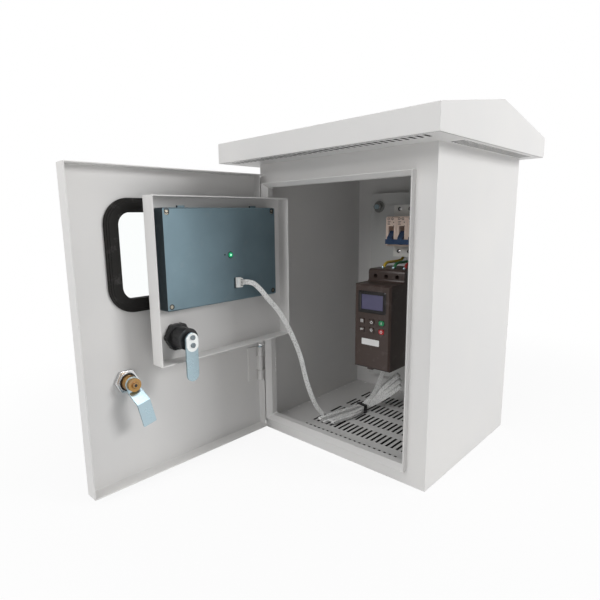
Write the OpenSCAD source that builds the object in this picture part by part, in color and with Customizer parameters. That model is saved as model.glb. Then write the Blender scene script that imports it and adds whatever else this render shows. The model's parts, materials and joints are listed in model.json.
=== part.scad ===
// Outdoor soft starter cabinet: a folded sheet cabinet under a gable roof, with a windowed main
// door, an inner door that carries an operator panel, a breaker and a soft starter on a plate.
// Millimetres, +Z up, front towards -Y, origin at the middle of the base.
// Both doors are drawn shut and then swung to the open pose.

/* [Cabinet] */
// Width of the cabinet body
body_w = 270; // [262:1:300]
// Depth of the cabinet body
body_d = 248; // [240:1:300]
// Height from the base to the underside of the roof
body_h = 400; // [396:1:440]
// Thickness of the folded sheet
sheet = 1.5; // [1:0.1:2]
// Height of the slotted floor's underside above the base
floor_lift = 10.5; // [6:0.5:14]
// Diameter of the wall fixing holes in the back
wall_hole_d = 9; // [6:0.5:12]
// Spacing of the wall fixing holes across the back
wall_hole_w = 110; // [80:1:120]
// Spacing of the wall fixing holes up the back
wall_hole_h = 240; // [180:1:250]

/* [Opening] */
// Left side of the body to the opening
open_left = 15; // [14:0.5:17]
// Right side of the body to the opening
open_right = 31; // [28:0.5:36]
// Base to the sill of the opening
open_bottom = 24; // [20:0.5:30]
// Underside of the roof to the opening
open_top = 32.5; // [28:0.5:38]
// Height of the raised drip ridge round the opening
ridge_h = 8; // [6:0.25:8.5]
// Width of the drip ridge's sloping face
ridge_w = 6; // [4:0.25:6.5]
// Flat land along the ridge's crest
ridge_land = 0.8; // [0.4:0.1:1.5]
// Depth of the fold that returns into the cabinet
return_d = 10; // [6:0.5:12]

/* [Roof] */
// Roof overhang at the front
roof_front = 54; // [40:1:70]
// Roof overhang at each side
roof_side = 27; // [20:1:40]
// Roof overhang at the back
roof_back = 14; // [8:1:30]
// Height of the roof's upright edge
fascia_h = 26.5; // [18:0.5:36]
// Rise of the ridge above the upright edge
roof_rise = 26; // [14:0.5:40]

/* [Vent slots] */
// Width of every vent slot
slot_w = 3.6; // [2.5:0.1:5]
// Spacing of the vent slots
slot_pitch = 8.1; // [7:0.1:12]
// Length of the floor slots
floor_slot_l = 28.5; // [18:0.5:36]
// Spacing of the rows of floor slots
floor_row_pitch = 43.6; // [38:0.2:45]
// Side of the body to the nearest floor slot
floor_slot_margin = 52; // [30:1:70]
// Front edge of the floor to the first row of slots
floor_row_first = 2.5; // [2:0.5:12]
// Length of the roof soffit slots
soffit_slot_l = 15; // [8:0.5:18]
// Outer edge of the soffit to its slots
soffit_slot_inset = 6; // [4:0.5:10]

/* [Main door] */
// How far the main door reaches past each side of the body
door_over = 3; // [2:0.25:4]
// Base to the bottom of the main door
door_bottom = 7; // [4:0.5:12]
// Underside of the roof to the top of the main door
door_top = 14.5; // [10:0.5:20]
// Depth of the main door's folded edges
door_d = 19.5; // [18:0.5:24]
// Depth of the narrower folded edge on the hinge side
hinge_edge_d = 13; // [9:0.5:13.5]
// Gap between the door's folded edges and the front face
door_gap = 2; // [1.5:0.25:4]
// Angle by which the main door stands open
door_open = 91; // [60:1:96]

/* [Main door hinges] */
// Hinge axis from the body's left side
hinge_in = 2.7; // [2:0.1:3.5]
// Hinge axis in front of the front face
hinge_out = 12.2; // [11.5:0.1:13]
// Diameter of the hinge barrels
hinge_barrel_d = 7.6; // [6:0.2:7.6]
// Length of each hinge
hinge_l = 52; // [36:1:70]
// Diameter of the hinge pins
hinge_pin_d = 4; // [2.5:0.25:4.5]
// Height of the lower hinge's middle above the base
hinge_low_z = 107; // [80:1:130]

/* [Window] */
// Hinge side of the main door to the clear window
window_hinge_side = 57.5; // [50:0.5:80]
// Lock side of the main door to the clear window
window_lock_side = 60.5; // [50:0.5:80]
// Clear height of the window
window_h = 101.5; // [70:0.5:110]
// Top of the main door to the clear window
window_drop = 51.75; // [40:0.25:60]
// Corner radius of the clear window
window_r = 15; // [6:0.5:25]
// Width of the rubber trim round the window
trim_w = 16.5; // [13:0.5:20]
// Height of the trim above each side of the door sheet
trim_h = 5; // [4:0.25:7]
// Thickness of the window pane
pane_t = 3; // [2:0.25:4]

/* [Main door lock] */
// Right side of the body to the lock axis, door shut
lock_side = 54; // [53:0.5:64]
// Lower edge of the window trim to the lock axis
lock_drop = 82.75; // [70:0.25:95]
// Diameter of the lock barrel
lock_barrel_d = 22; // [18:0.5:24]
// Diameter of the brass core
lock_core_d = 18; // [12:0.5:19]
// Width of the lock nut across its flats
lock_nut_af = 27; // [25:0.5:30]
// Thickness of the lock nut
lock_nut_t = 5; // [3:0.25:7]
// Inner face of the door to the cam
cam_stand = 15.5; // [13:0.5:18]
// Offset between the cam's two levels
cam_step = 15; // [15:0.5:17]
// Length of the cam from the lock axis to its tip
cam_reach = 50; // [42:0.5:50]
// Width of the cam
cam_w = 17; // [12:0.5:18]
// Thickness of the cam
cam_t = 2.5; // [1.5:0.25:3]
// Lean of the unlocked cam towards the hinge side
cam_lean = 13; // [0:1:20]

/* [Inner door] */
// Top of the opening to the inner door
inner_top_gap = 15.5; // [6:0.5:24]
// Band of the inner door below the operator panel
inner_foot = 64.75; // [56:0.25:80]
// Depth of the inner door's folded rim
inner_d = 20.5; // [18:0.5:24]
// Clearance between the inner door and the opening on its lock side
inner_clear = 2; // [1.5:0.25:4]
// Set-back of the inner door's face behind the front face
inner_setback = 23.2; // [22:0.2:26]
// Angle by which the inner door stands open
inner_open = 90; // [60:1:94]
// Diameter of the inner hinge barrels
inner_barrel_d = 5; // [4:0.25:5]
// Diameter of the inner hinge pins
inner_pin_d = 2.5; // [1.5:0.25:3]
// Length of each inner hinge
inner_hinge_l = 30; // [20:1:40]

/* [Operator panel] */
// Hinge side of the inner door to the operator panel's rear case
hmi_hinge_side = 27; // [22:0.5:40]
// Lock side of the inner door to the rear case
hmi_lock_side = 13; // [8:0.5:30]
// Top of the inner door to the rear case
hmi_top = 13.75; // [8:0.25:24]
// Height of the operator panel's rear case
hmi_h = 120.5; // [90:0.5:126]
// Depth of the rear case behind the inner door's sheet
hmi_d = 17.5; // [12:0.5:18.5]
// Border of the front bezel round the rear case
hmi_border = 5; // [3:0.5:6]
// Thickness of the front bezel
hmi_bezel_t = 3; // [2.5:0.25:3.5]

/* [Inner door lock] */
// Lock side of the inner door to the inner lock axis
knob_side = 33; // [26:0.5:45]
// Bottom of the inner door to the inner lock axis
knob_up = 30; // [26:0.5:36]
// Diameter of the lobed black collar
knob_collar_d = 35; // [30:0.5:36]
// Diameter of the black lock body
knob_body_d = 27; // [22:0.5:29]
// Reach of the black lock body behind the door sheet
knob_body_l = 27; // [22:0.5:32]
// Diameter of the spindle
spindle_d = 12; // [8:0.5:14]
// Length of the blade from the lock axis to its tip
blade_reach = 51; // [44:0.5:52]
// Width of the blade
blade_w = 17; // [12:0.5:20]
// Thickness of the blade
blade_t = 2; // [1.5:0.25:3]

/* [Mounting plate] */
// Width of the mounting plate
plate_w = 190; // [170:1:204]
// Height of the plate's bottom edge above the base
plate_bottom = 40.5; // [30:0.5:48]
// Top of the body to the plate's top edge
plate_top_gap = 37.5; // [20:0.5:50]
// Thickness of the mounting plate
plate_t = 2; // [1.5:0.25:3]
// Length of the stand-offs behind the plate
standoff_l = 16.5; // [10:0.5:24]
// Diameter of the plate's fixing studs
stud_d = 8; // [5:0.5:10]
// Distance of the studs from the plate's sides
stud_inset = 16; // [14:0.5:22]
// Distance of the studs from the plate's top and bottom
stud_rise = 22; // [14:0.5:30]

/* [Breaker] */
// Width of one breaker pole
pole_w = 18; // [17.5:0.1:20]
// Overall height of the breaker
breaker_h = 80; // [70:1:90]
// Height of the breaker's raised nose
nose_h = 45; // [40:0.5:48]
// Depth of the breaker from the rail to the nose
breaker_d = 61.5; // [55:0.5:70]
// Depth of the nose in front of the terminal shoulders
nose_d = 23; // [18:0.5:26]
// Top of the mounting plate to the breaker
breaker_drop = 21.5; // [10:0.5:30]
// Breaker to the starter's terminal cover
wire_drop = 14; // [10:0.5:24]

/* [Soft starter] */
// Width of the starter
starter_w = 60; // [56:0.5:64]
// Height of the starter's front
starter_h = 124.5; // [120:0.5:128]
// Depth of the starter from the plate to its front
starter_d = 146; // [130:1:150]
// Middle of starter and breaker from the middle of the body
gear_x = 4; // [-6:0.5:8]
// Height of the terminal cover above the starter's front part
cover_h = 18.5; // [14:0.5:20]
// Set-back of the terminal cover behind the starter's front
cover_back = 36; // [28:0.5:44]
// Spacing of the keys across
key_pitch_x = 16.3; // [12:0.1:18]
// Spacing of the keys up and down
key_pitch_z = 12.5; // [10:0.1:14]
// Width of a key
key_w = 8.6; // [6:0.2:10]
// Height of a key
key_h = 7; // [5:0.2:8]
// Travel of a key
key_travel = 0.8; // [0.4:0.1:1.2]

/* [Hidden] */

$fn = 48;
// Radial room round turning pins and cores
run_fit = 0.05;
// Room between hinge knuckles
knuckle_gap = 0.3;
// Room round a key in its hole
key_gap = 0.25;
// Room left at the end of a cable where it meets a face
end_gap = 0.3;
// Radius of a phase wire
wire_r = 2.2;
// How far a cutting shape reaches past the surface that it cuts
past = 1;

// Body planes
x_left = -body_w / 2;
x_right = body_w / 2;
y_front = -body_d / 2;
y_back = body_d / 2;
y_back_in = y_back - sheet;
floor_top = floor_lift + sheet;

// Opening edges
open_x0 = x_left + open_left;
open_x1 = x_right - open_right;
open_z0 = open_bottom;
open_z1 = body_h - open_top;

// Roof outline
roof_x = x_right + roof_side;
roof_y0 = y_front - roof_front;
roof_y1 = y_back + roof_back;
roof_mid = (roof_y0 + roof_y1) / 2;
roof_eave = body_h + fascia_h;
roof_slope = atan2(roof_rise, roof_mid - roof_y0);

// Main door, shut
door_x0 = x_left - door_over;
door_x1 = x_right + door_over;
door_z0 = door_bottom;
door_z1 = body_h - door_top;
door_tip = y_front - door_gap;
door_skin = door_tip - door_d;
door_inner = door_skin + sheet;
hinge_x = x_left + hinge_in;
hinge_y = y_front - hinge_out;
hinge_high_z = door_z0 + door_z1 - hinge_low_z;
hinge_knuckle = hinge_l * 0.29;

// Window rings, from the clear opening outwards
pane_edge = 4;
sheet_edge = 8;
window_w = door_x1 - door_x0 - window_hinge_side - window_lock_side;
window_x = door_x0 + window_hinge_side + window_w / 2;
window_z = door_z1 - window_drop - window_h / 2;
lock_x = x_right - lock_side;
lock_z = window_z - window_h / 2 - trim_w - lock_drop;

// Main door lock levels, behind the door sheet
cam_y = door_inner + cam_stand;
cam_boss_t = 5;
cam_eye_r = 9;
cam_bend_in = 9.5;
cam_bend_out = 21;

// Inner door, shut
inner_hinge_clear = 3;
inner_x0 = open_x0 + inner_hinge_clear;
inner_x1 = open_x1 - inner_clear;
inner_face = y_front + inner_setback;
inner_back = inner_face + inner_d;
inner_sheet = inner_face + sheet;
inner_h = hmi_top + hmi_h + inner_foot;
inner_z1 = open_z1 - inner_top_gap;
inner_z0 = inner_z1 - inner_h;
// Inner hinge axis, just behind the fold that returns into the cabinet
inner_axis_side = 3.2;
inner_axis_front = 3;
inner_hinge_x = inner_x0 - inner_axis_side;
inner_hinge_y = inner_face - inner_axis_front;
inner_leaf_t = 1.2;
inner_hinge_inset = 38;
inner_low_z = inner_z0 + inner_hinge_inset;
inner_high_z = inner_z1 - inner_hinge_inset;

// Inner lock place and levels
knob_x = inner_x1 - knob_side;
knob_z = inner_z0 + knob_up;
spindle_show = 4;
spindle_seat = 10;
blade_y = inner_sheet + knob_body_l + spindle_show;
clamp_t = 1.5;

// Mounting plate planes
plate_y1 = y_back_in - standoff_l;
plate_y0 = plate_y1 - plate_t;
plate_top = body_h - plate_top_gap;
plate_h = plate_top - plate_bottom;
stud_x = plate_w / 2 - stud_inset;
stud_z0 = plate_bottom + stud_rise;
stud_z1 = plate_top - stud_rise;

// Rail and breaker planes
rail_d = 7.5;
rail_y0 = plate_y0 - rail_d;
poles = 3;
breaker_w = poles * pole_w;
nose_y = rail_y0 - breaker_d;
shoulder_y = nose_y + nose_d;
breaker_z = plate_top - breaker_drop - breaker_h / 2;
breaker_z0 = breaker_z - breaker_h / 2;
toggle_in = 7;
toggle_below = 5;
toggle_y = nose_y + toggle_in;
toggle_z = breaker_z - toggle_below;
toggle_r = 6;
toggle_slot = pole_w * 0.5;

// Starter planes
starter_x0 = gear_x - starter_w / 2;
starter_y0 = plate_y0 - starter_d;
starter_z1 = breaker_z0 - wire_drop - cover_h;
starter_z0 = starter_z1 - starter_h;
cover_y0 = starter_y0 + cover_back;
cover_d = 58;
cover_z1 = starter_z1 + cover_h;
keypad_side = 4.5;
keypad_top = 6;
keypad_h = 88.5;
keypad_w = starter_w - 2 * keypad_side;
keypad_z1 = starter_z1 - keypad_top;
keypad_z0 = keypad_z1 - keypad_h;
keypad_t = 1;
screen_w = 40.5;
screen_h = 26.5;
screen_drop = 25.5;
screen_seat = 4;
screen_z = starter_z1 - screen_drop;
key_drop = 54;
key_cols = [-key_pitch_x, 0, key_pitch_x];
key_rows = [starter_z1 - key_drop, starter_z1 - key_drop - key_pitch_z];
key_seat = 2;
key_back_y = starter_y0 + keypad_t + key_seat;

// Operator panel planes, inner door shut
hmi_x0 = inner_x0 + hmi_hinge_side;
hmi_w = inner_x1 - hmi_lock_side - hmi_x0;
hmi_x = hmi_x0 + hmi_w / 2;
hmi_z0 = inner_z1 - hmi_top - hmi_h;
hmi_z = hmi_z0 + hmi_h / 2;
hmi_rear = inner_sheet + hmi_d;
hmi_neck = 7;
hmi_screw_inset = 5.5;
lamp_x = hmi_x - 7.5;
lamp_z = hmi_z + 0.5;
lamp_d = 6.5;
socket_x = hmi_x - 17;
socket_z = hmi_z - 36.5;
socket_w = 10;
socket_h = 14;
socket_d = 8;

// Ribbon cable: half width and half thickness
ribbon_a = 3.4;
ribbon_b = 1.1;
// Route of the hanging ribbon with the doors open, from the socket to the floor
RIBBON = [[-93.5, -201, 241.5], [-93, -195.5, 241.5], [-89, -186, 239], [-85.5, -177, 230.5],
    [-82, -167, 217.5], [-78, -150, 197.5], [-74.5, -134, 171], [-70.5, -115, 129],
    [-67.5, -101.5, 80], [-64, -86, 42], [-60, -72, 22.5]];
// Route of the single strand that climbs to the starter's underside
LEAD = [[-34, 12, 25], [-27, 11, 38], [-14, 8, 62], [-5, 4, 84], [0, 2, 95], [1, 2, starter_z0 - end_gap]];
// Middle line of the hank that lies on the floor, from its folded end to the tie
HANK_A = [-52, -72];
HANK_B = [-38, 4];
hank_h = 10;
tie_l = 6;
tie_t = 1.6;
hank_z0 = floor_top + tie_t + end_gap;
// Far end of the loops beyond the tie
LOOP_A = [-36, 13, 20];
LOOP_B = [8, 31, 66];
loop_t = 11;

CABINET = "#d6d8d6";
ZINC = "#c9d2d8";
BLACK = "#23211f";
BROWN = "#40352f";

// One door's shapes swung from shut to the open pose about an upright axis
module swing(x, y, angle) {
    translate([x, y, 0]) rotate([0, 0, -angle]) translate([-x, -y, 0]) children();
}

module door_pose() {
    swing(hinge_x, hinge_y, door_open) children();
}

module inner_pose() {
    swing(inner_hinge_x, inner_hinge_y, inner_open) children();
}

// A flat outline drawn in X and Z, as thick as t, its front at y
module upright(y, t) {
    translate([0, y + t, 0]) rotate([90, 0, 0]) linear_extrude(t) children();
}

// A side profile drawn in Y and Z, swept w wide along X from x
module sweep_x(x, w) {
    translate([x, 0, 0]) rotate([90, 0, 90]) linear_extrude(w) children();
}

// A round bar along Y from y0 to y1
module bar_y(x, z, d, y0, y1) {
    translate([x, y1, z]) rotate([90, 0, 0]) cylinder(h = y1 - y0, d = d);
}

module rounded_rect(w, h, r) {
    square([w - 2 * r, h], center = true);
    square([w, h - 2 * r], center = true);
    for (sx = [-1, 1], sz = [-1, 1])
        translate([sx * (w / 2 - r), sz * (h / 2 - r)]) circle(r);
}

// A row of slots along X in a level sheet
module slot_row(x, y, l, count, z) {
    for (i = [0 : count - 1])
        translate([x + (i - (count - 1) / 2) * slot_pitch - slot_w / 2, y, z - past])
            cube([slot_w, l, sheet + 2 * past]);
}

// Sweep helpers for the cables
function unit(v) = v / norm(v);
function bend_point(a, b, c, d, t) =
    0.5 * (2 * b + (c - a) * t + (2 * a - 5 * b + 4 * c - d) * t * t + (3 * b - a - 3 * c + d) * t * t * t);
function smooth(p, steps) = let (n = len(p) - 1) concat(
    [for (i = [0 : n - 1]) for (k = [0 : steps - 1])
        bend_point(p[max(i - 1, 0)], p[i], p[i + 1], p[min(i + 2, n)], k / steps)],
    [p[n]]);
function heading(p, i) = unit(p[min(i + 1, len(p) - 1)] - p[max(i - 1, 0)]);
function ring(p, i, side, a, b, n) =
    let (t = heading(p, i), s = unit(side - (side * t) * t), u = cross(t, s))
    [for (k = [0 : n - 1]) p[i] + a * cos(360 * k / n) * s + b * sin(360 * k / n) * u];

module tube(route, side, a, b, n = 8, steps = 3) {
    p = smooth(route, steps);
    last = len(p) - 1;
    points = [for (i = [0 : last]) each ring(p, i, side, a, b, n)];
    sides = [for (i = [0 : last - 1]) for (k = [0 : n - 1])
        [i * n + k, (i + 1) * n + k, (i + 1) * n + (k + 1) % n, i * n + (k + 1) % n]];
    first_cap = [for (k = [0 : n - 1]) k];
    last_cap = [for (k = [n - 1 : -1 : 0]) last * n + k];
    polyhedron(points = points, faces = concat([first_cap, last_cap], sides), convexity = 6);
}

// Cabinet sheet metal

module body_shell() {
    color(CABINET) difference() {
        translate([x_left, y_front + sheet, 0]) cube([body_w, body_d - sheet, body_h]);
        translate([x_left + sheet, y_front, -past])
            cube([body_w - 2 * sheet, body_d - sheet, body_h - sheet + past]);
        for (sx = [-1, 1], sz = [-1, 1])
            bar_y(sx * wall_hole_w / 2, (body_h + sz * wall_hole_h) / 2, wall_hole_d, y_back_in - past, y_back + past);
    }
}

// The opening's outline, grown by a margin on every side
module opening(grow = 0) {
    translate([open_x0 - grow, open_z0 - grow])
        square([open_x1 - open_x0 + 2 * grow, open_z1 - open_z0 + 2 * grow]);
}

module front_frame() {
    color(CABINET) difference() {
        union() {
            upright(y_front, sheet) translate([x_left, 0]) square([body_w, body_h]);
            upright(y_front - ridge_h, ridge_h) opening(ridge_w);
            upright(y_front, return_d) opening(sheet);
        }
        upright(y_front - ridge_h - past, ridge_h + return_d + 2 * past) opening();
        hull() {
            upright(y_front - 0.01, 0.01) opening();
            upright(y_front - ridge_h - 0.01, 0.02) opening(ridge_w - ridge_land);
        }
    }
}

module floor_plate() {
    floor_d = body_d - 2 * sheet;
    floor_slots = floor((body_w - 2 * floor_slot_margin) / slot_pitch);
    floor_rows = 1 + floor((floor_d - floor_row_first - floor_slot_l) / floor_row_pitch);
    color(CABINET) difference() {
        translate([x_left + sheet, y_front + sheet, floor_lift])
            cube([body_w - 2 * sheet, floor_d, sheet]);
        for (r = [0 : floor_rows - 1])
            slot_row(0, y_front + sheet + floor_row_first + r * floor_row_pitch, floor_slot_l, floor_slots, floor_lift);
    }
}

module soffit_plate() {
    front_slots = floor((body_w + roof_side) / slot_pitch);
    side_slots = floor((body_d - roof_side) / slot_pitch);
    color(CABINET) difference() {
        translate([-roof_x + sheet, roof_y0 + sheet, body_h])
            cube([2 * (roof_x - sheet), roof_y1 - roof_y0 - 2 * sheet, sheet]);
        slot_row(0, roof_y0 + sheet + soffit_slot_inset, soffit_slot_l, front_slots, body_h);
        for (sx = [-1, 1])
            rotate([0, 0, sx * 90])
                slot_row(0, -roof_x + sheet + soffit_slot_inset, soffit_slot_l, side_slots, body_h);
    }
}

// Gable outline of the roof, drawn inside a wall of thickness t
module gable(t) {
    drop = t / cos(roof_slope);
    polygon([[roof_y0 + t, body_h], [roof_y1 - t, body_h],
        [roof_y1 - t, roof_eave - drop + t * tan(roof_slope)], [roof_mid, roof_eave + roof_rise - drop],
        [roof_y0 + t, roof_eave - drop + t * tan(roof_slope)]]);
}

module roof_cap() {
    color(CABINET) difference() {
        sweep_x(-roof_x, 2 * roof_x) gable(0);
        sweep_x(-roof_x + sheet, 2 * (roof_x - sheet)) gable(sheet);
    }
}

// Mounting plate and switchgear

module at_studs() {
    for (sx = [-1, 1], z = [stud_z0, stud_z1]) translate([sx * stud_x, 0, z]) children();
}

module mounting_plate() {
    color("#cfd0cd") difference() {
        translate([-plate_w / 2, plate_y0, plate_bottom]) cube([plate_w, plate_t, plate_h]);
        at_studs() bar_y(0, 0, stud_d + 0.4, plate_y0 - past, plate_y1 + past);
    }
}

module plate_standoffs() {
    color(ZINC) at_studs() {
        bar_y(0, 0, stud_d + 6, plate_y1, y_back_in);
        bar_y(0, 0, stud_d, plate_y0 - 10, plate_y1);
    }
}

module plate_nuts() {
    washer_t = 1.6;
    nut_t = 6.5;
    color(ZINC) at_studs() difference() {
        union() {
            bar_y(0, 0, 2.5 * stud_d, plate_y0 - washer_t, plate_y0);
            translate([0, plate_y0 - washer_t, 0]) rotate([90, 0, 0]) cylinder(h = nut_t, d = 1.87 * stud_d, $fn = 6);
        }
        bar_y(0, 0, stud_d + 2 * run_fit, plate_y0 - washer_t - nut_t - past, plate_y0 + past);
    }
}

module din_rail() {
    half = 17.5;
    web = 13.5;
    wall = 1;
    length = breaker_w - 2;
    color(ZINC) sweep_x(gear_x - length / 2, length)
        for (s = [-1, 1]) polygon([[plate_y0, breaker_z], [plate_y0, breaker_z + s * web],
            [rail_y0 + wall, breaker_z + s * web], [rail_y0 + wall, breaker_z + s * half],
            [rail_y0, breaker_z + s * half], [rail_y0, breaker_z + s * (web - wall)],
            [plate_y0 - wall, breaker_z + s * (web - wall)], [plate_y0 - wall, breaker_z]]);
}

function pole_x(i) = gear_x + (i - (poles - 1) / 2) * pole_w;

module breaker_case() {
    nose_z0 = breaker_z - nose_h / 2;
    nose_z1 = breaker_z + nose_h / 2;
    groove = 0.6;
    cut = 2;
    color("#e6d8cf") difference() {
        sweep_x(gear_x - breaker_w / 2, breaker_w) polygon([[rail_y0, breaker_z0], [rail_y0, breaker_z0 + breaker_h],
            [shoulder_y, breaker_z0 + breaker_h], [shoulder_y, nose_z1], [nose_y + cut, nose_z1],
            [nose_y, nose_z1 - cut], [nose_y, nose_z0 + cut], [nose_y + cut, nose_z0],
            [shoulder_y, nose_z0], [shoulder_y, breaker_z0]]);
        for (i = [1 : poles - 1])
            translate([gear_x - breaker_w / 2 + i * pole_w - groove / 2, nose_y - past, breaker_z0 - past])
                cube([groove, past + groove, breaker_h + 2 * past]);
        for (i = [0 : poles - 1]) {
            translate([pole_x(i) - toggle_slot / 2, nose_y - past, toggle_z - 15]) cube([toggle_slot, 19, 28]);
            for (z = [breaker_z0 + 8.5, breaker_z0 + breaker_h - 6])
                bar_y(pole_x(i), z, 6.4, shoulder_y - past, shoulder_y + 4);
        }
        bar_x = gear_x - breaker_w / 2;
        translate([bar_x - past, toggle_y, toggle_z]) rotate([0, 90, 0]) cylinder(h = breaker_w + 2 * past, d = 3);
    }
}

// Three levers on one spindle, joined by a tie bar, switched off
module breaker_toggle() {
    lever_w = toggle_slot - 1;
    bar_w = breaker_w - 5;
    bar_h = 7.5;
    color("#27406b") {
        for (i = [0 : poles - 1])
            sweep_x(pole_x(i) - lever_w / 2, lever_w) {
                translate([toggle_y, toggle_z]) circle(toggle_r);
                polygon([[toggle_y - 5.4, toggle_z + 2.6], [toggle_y - 12, toggle_z - 4], [toggle_y - 12, toggle_z - 8],
                    [toggle_y - 9.4, toggle_z - 14.2], [toggle_y - 7.4, toggle_z - 14.2], [toggle_y - 3, toggle_z - 5.2]]);
            }
        translate([gear_x - bar_w / 2, toggle_y - 13, toggle_z - 14.2]) cube([bar_w, 5.4, bar_h]);
        translate([gear_x - breaker_w / 2 + 1, toggle_y, toggle_z]) rotate([0, 90, 0])
            cylinder(h = breaker_w - 2, d = 3 - 2 * run_fit);
    }
}

// A wire from one breaker terminal, looped forward and down into the starter's cover
module phase_wire(i, tint) {
    x = pole_x(i);
    top = breaker_z0;
    entry_y = cover_y0 + 24;
    drop = top - cover_z1;
    exit_y = shoulder_y + 15;
    color(tint) tube([[x, exit_y, top - end_gap], [x, exit_y - 0.5, top - drop * 0.22], [x, exit_y - 7, top - drop * 0.45],
        [x, (exit_y + entry_y) / 2, top - drop * 0.48], [x, entry_y + 9, top - drop * 0.48],
        [x, entry_y + 1, top - drop * 0.7], [x, entry_y, cover_z1 + end_gap]], [1, 0, 0], wire_r, wire_r);
}

module phase_wire_yellow() phase_wire(0, "#c9a92b");
module phase_wire_green() phase_wire(1, "#2f7a46");
module phase_wire_red() phase_wire(2, "#a3332d");

// Soft starter

module starter_case() {
    edge = 2.5;
    rear_z = starter_z1 + 11;
    foot_w = 9;
    vent_w = 2.4;
    vents = 9;
    color(BROWN) difference() {
        union() {
            intersection() {
                sweep_x(starter_x0, starter_w) polygon([[starter_y0, starter_z0 + edge], [starter_y0 + edge, starter_z0],
                    [plate_y0, starter_z0], [plate_y0, rear_z], [cover_y0 + cover_d, rear_z],
                    [cover_y0 + cover_d, starter_z1], [starter_y0 + edge, starter_z1], [starter_y0, starter_z1 - edge]]);
                translate([0, 0, starter_z0]) linear_extrude(rear_z - starter_z0)
                    polygon([[starter_x0, starter_y0 + edge], [starter_x0 + edge, starter_y0],
                        [starter_x0 + starter_w - edge, starter_y0], [starter_x0 + starter_w, starter_y0 + edge],
                        [starter_x0 + starter_w, plate_y0], [starter_x0, plate_y0]]);
            }
            translate([gear_x - foot_w / 2 - 5, starter_y0 + 5, starter_z0 - 3]) cube([foot_w, 8, 3 + past]);
        }
        upright(starter_y0 - past, keypad_t + past) translate([gear_x, (keypad_z0 + keypad_z1) / 2])
            rounded_rect(keypad_w, keypad_z1 - keypad_z0, 2);
        for (x = key_cols, z = key_rows)
            translate([gear_x + x - key_w / 2 - key_gap, starter_y0, z - key_h / 2 - key_gap])
                cube([key_w + 2 * key_gap, keypad_t + key_seat + key_travel + key_gap, key_h + 2 * key_gap]);
        translate([gear_x - screen_w / 2, starter_y0, screen_z - screen_h / 2]) cube([screen_w, screen_seat, screen_h]);
        for (s = [-1, 1], i = [0 : vents - 1])
            translate([gear_x + s * starter_w / 2 - 1.2, cover_y0 + cover_d / 2 + 4 + i * 2.4 * vent_w, starter_z0 + 14])
                cube([2.4, vent_w, starter_h - 34]);
    }
}

module starter_terminal_cover() {
    r = 5;
    lip = 4;
    color(BROWN) difference() {
        union() {
            sweep_x(starter_x0, starter_w) {
                translate([cover_y0, starter_z1]) square([cover_d, cover_h - r]);
                translate([cover_y0 + r, starter_z1]) square([cover_d - r, cover_h]);
                translate([cover_y0 + r, cover_z1 - r]) circle(r);
                difference() {
                    translate([cover_y0 - lip, starter_z1]) square([lip, lip]);
                    translate([cover_y0 - lip, starter_z1 + lip]) circle(lip);
                }
            }
        }
        for (i = [0 : poles - 1])
            bar_y(pole_x(i), starter_z1 + 8, 6.2, cover_y0 - lip - past, cover_y0 + 12);
    }
}

// Front membrane with the key holes and the screen's window
module starter_keypad() {
    color("#2f2926") difference() {
        upright(starter_y0, keypad_t) translate([gear_x, (keypad_z0 + keypad_z1) / 2])
            rounded_rect(keypad_w, keypad_z1 - keypad_z0, 2);
        translate([gear_x - screen_w / 2, starter_y0 - past, screen_z - screen_h / 2])
            cube([screen_w, keypad_t + 2 * past, screen_h]);
        for (x = key_cols, z = key_rows)
            translate([gear_x + x - key_w / 2 - key_gap, starter_y0 - past, z - key_h / 2 - key_gap])
                cube([key_w + 2 * key_gap, keypad_t + 2 * past, key_h + 2 * key_gap]);
    }
}

module starter_screen() {
    sunk = 0.6;
    color("#44425a") translate([gear_x - screen_w / 2, starter_y0 + sunk, screen_z - screen_h / 2])
        cube([screen_w, screen_seat - sunk, screen_h]);
}

module key(col, row, tint) {
    proud = 0.9;
    color(tint) upright(starter_y0 - proud, proud + key_back_y - starter_y0)
        translate([gear_x + key_cols[col], key_rows[row]]) rounded_rect(key_w, key_h, key_h * 0.42);
}

module key_menu() key(0, 0, "#4a423d");
module key_up() key(1, 0, "#4a423d");
module key_start() key(2, 0, "#28965a");
module key_back() key(0, 1, "#4a423d");
module key_down() key(1, 1, "#4a423d");
module key_stop() key(2, 1, "#b42828");

// Main door

// The window's outline, grown outwards by a margin
module window(grow) {
    translate([window_x, window_z])
        rounded_rect(window_w + 2 * grow, window_h + 2 * grow, window_r + grow);
}

module door_panel() {
    notch = hinge_l + 3;
    hinge_edge_tip = door_skin + hinge_edge_d;
    color(CABINET) door_pose() difference() {
        translate([door_x0, door_skin, door_z0]) cube([door_x1 - door_x0, door_d, door_z1 - door_z0]);
        translate([door_x0 + sheet, door_inner, door_z0 + sheet])
            cube([door_x1 - door_x0 - 2 * sheet, door_d, door_z1 - door_z0 - 2 * sheet]);
        translate([door_x0 - past, hinge_edge_tip, door_z0 + sheet])
            cube([sheet + 2 * past, door_d, door_z1 - door_z0 - 2 * sheet]);
        for (z = [hinge_low_z, hinge_high_z])
            translate([door_x0 - past, door_inner, z - notch / 2]) cube([sheet + 2 * past, door_d, notch]);
        upright(door_skin - past, sheet + 2 * past) window(sheet_edge);
        bar_y(lock_x, lock_z, lock_barrel_d + 0.4, door_skin - past, door_inner + past);
    }
}

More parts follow.
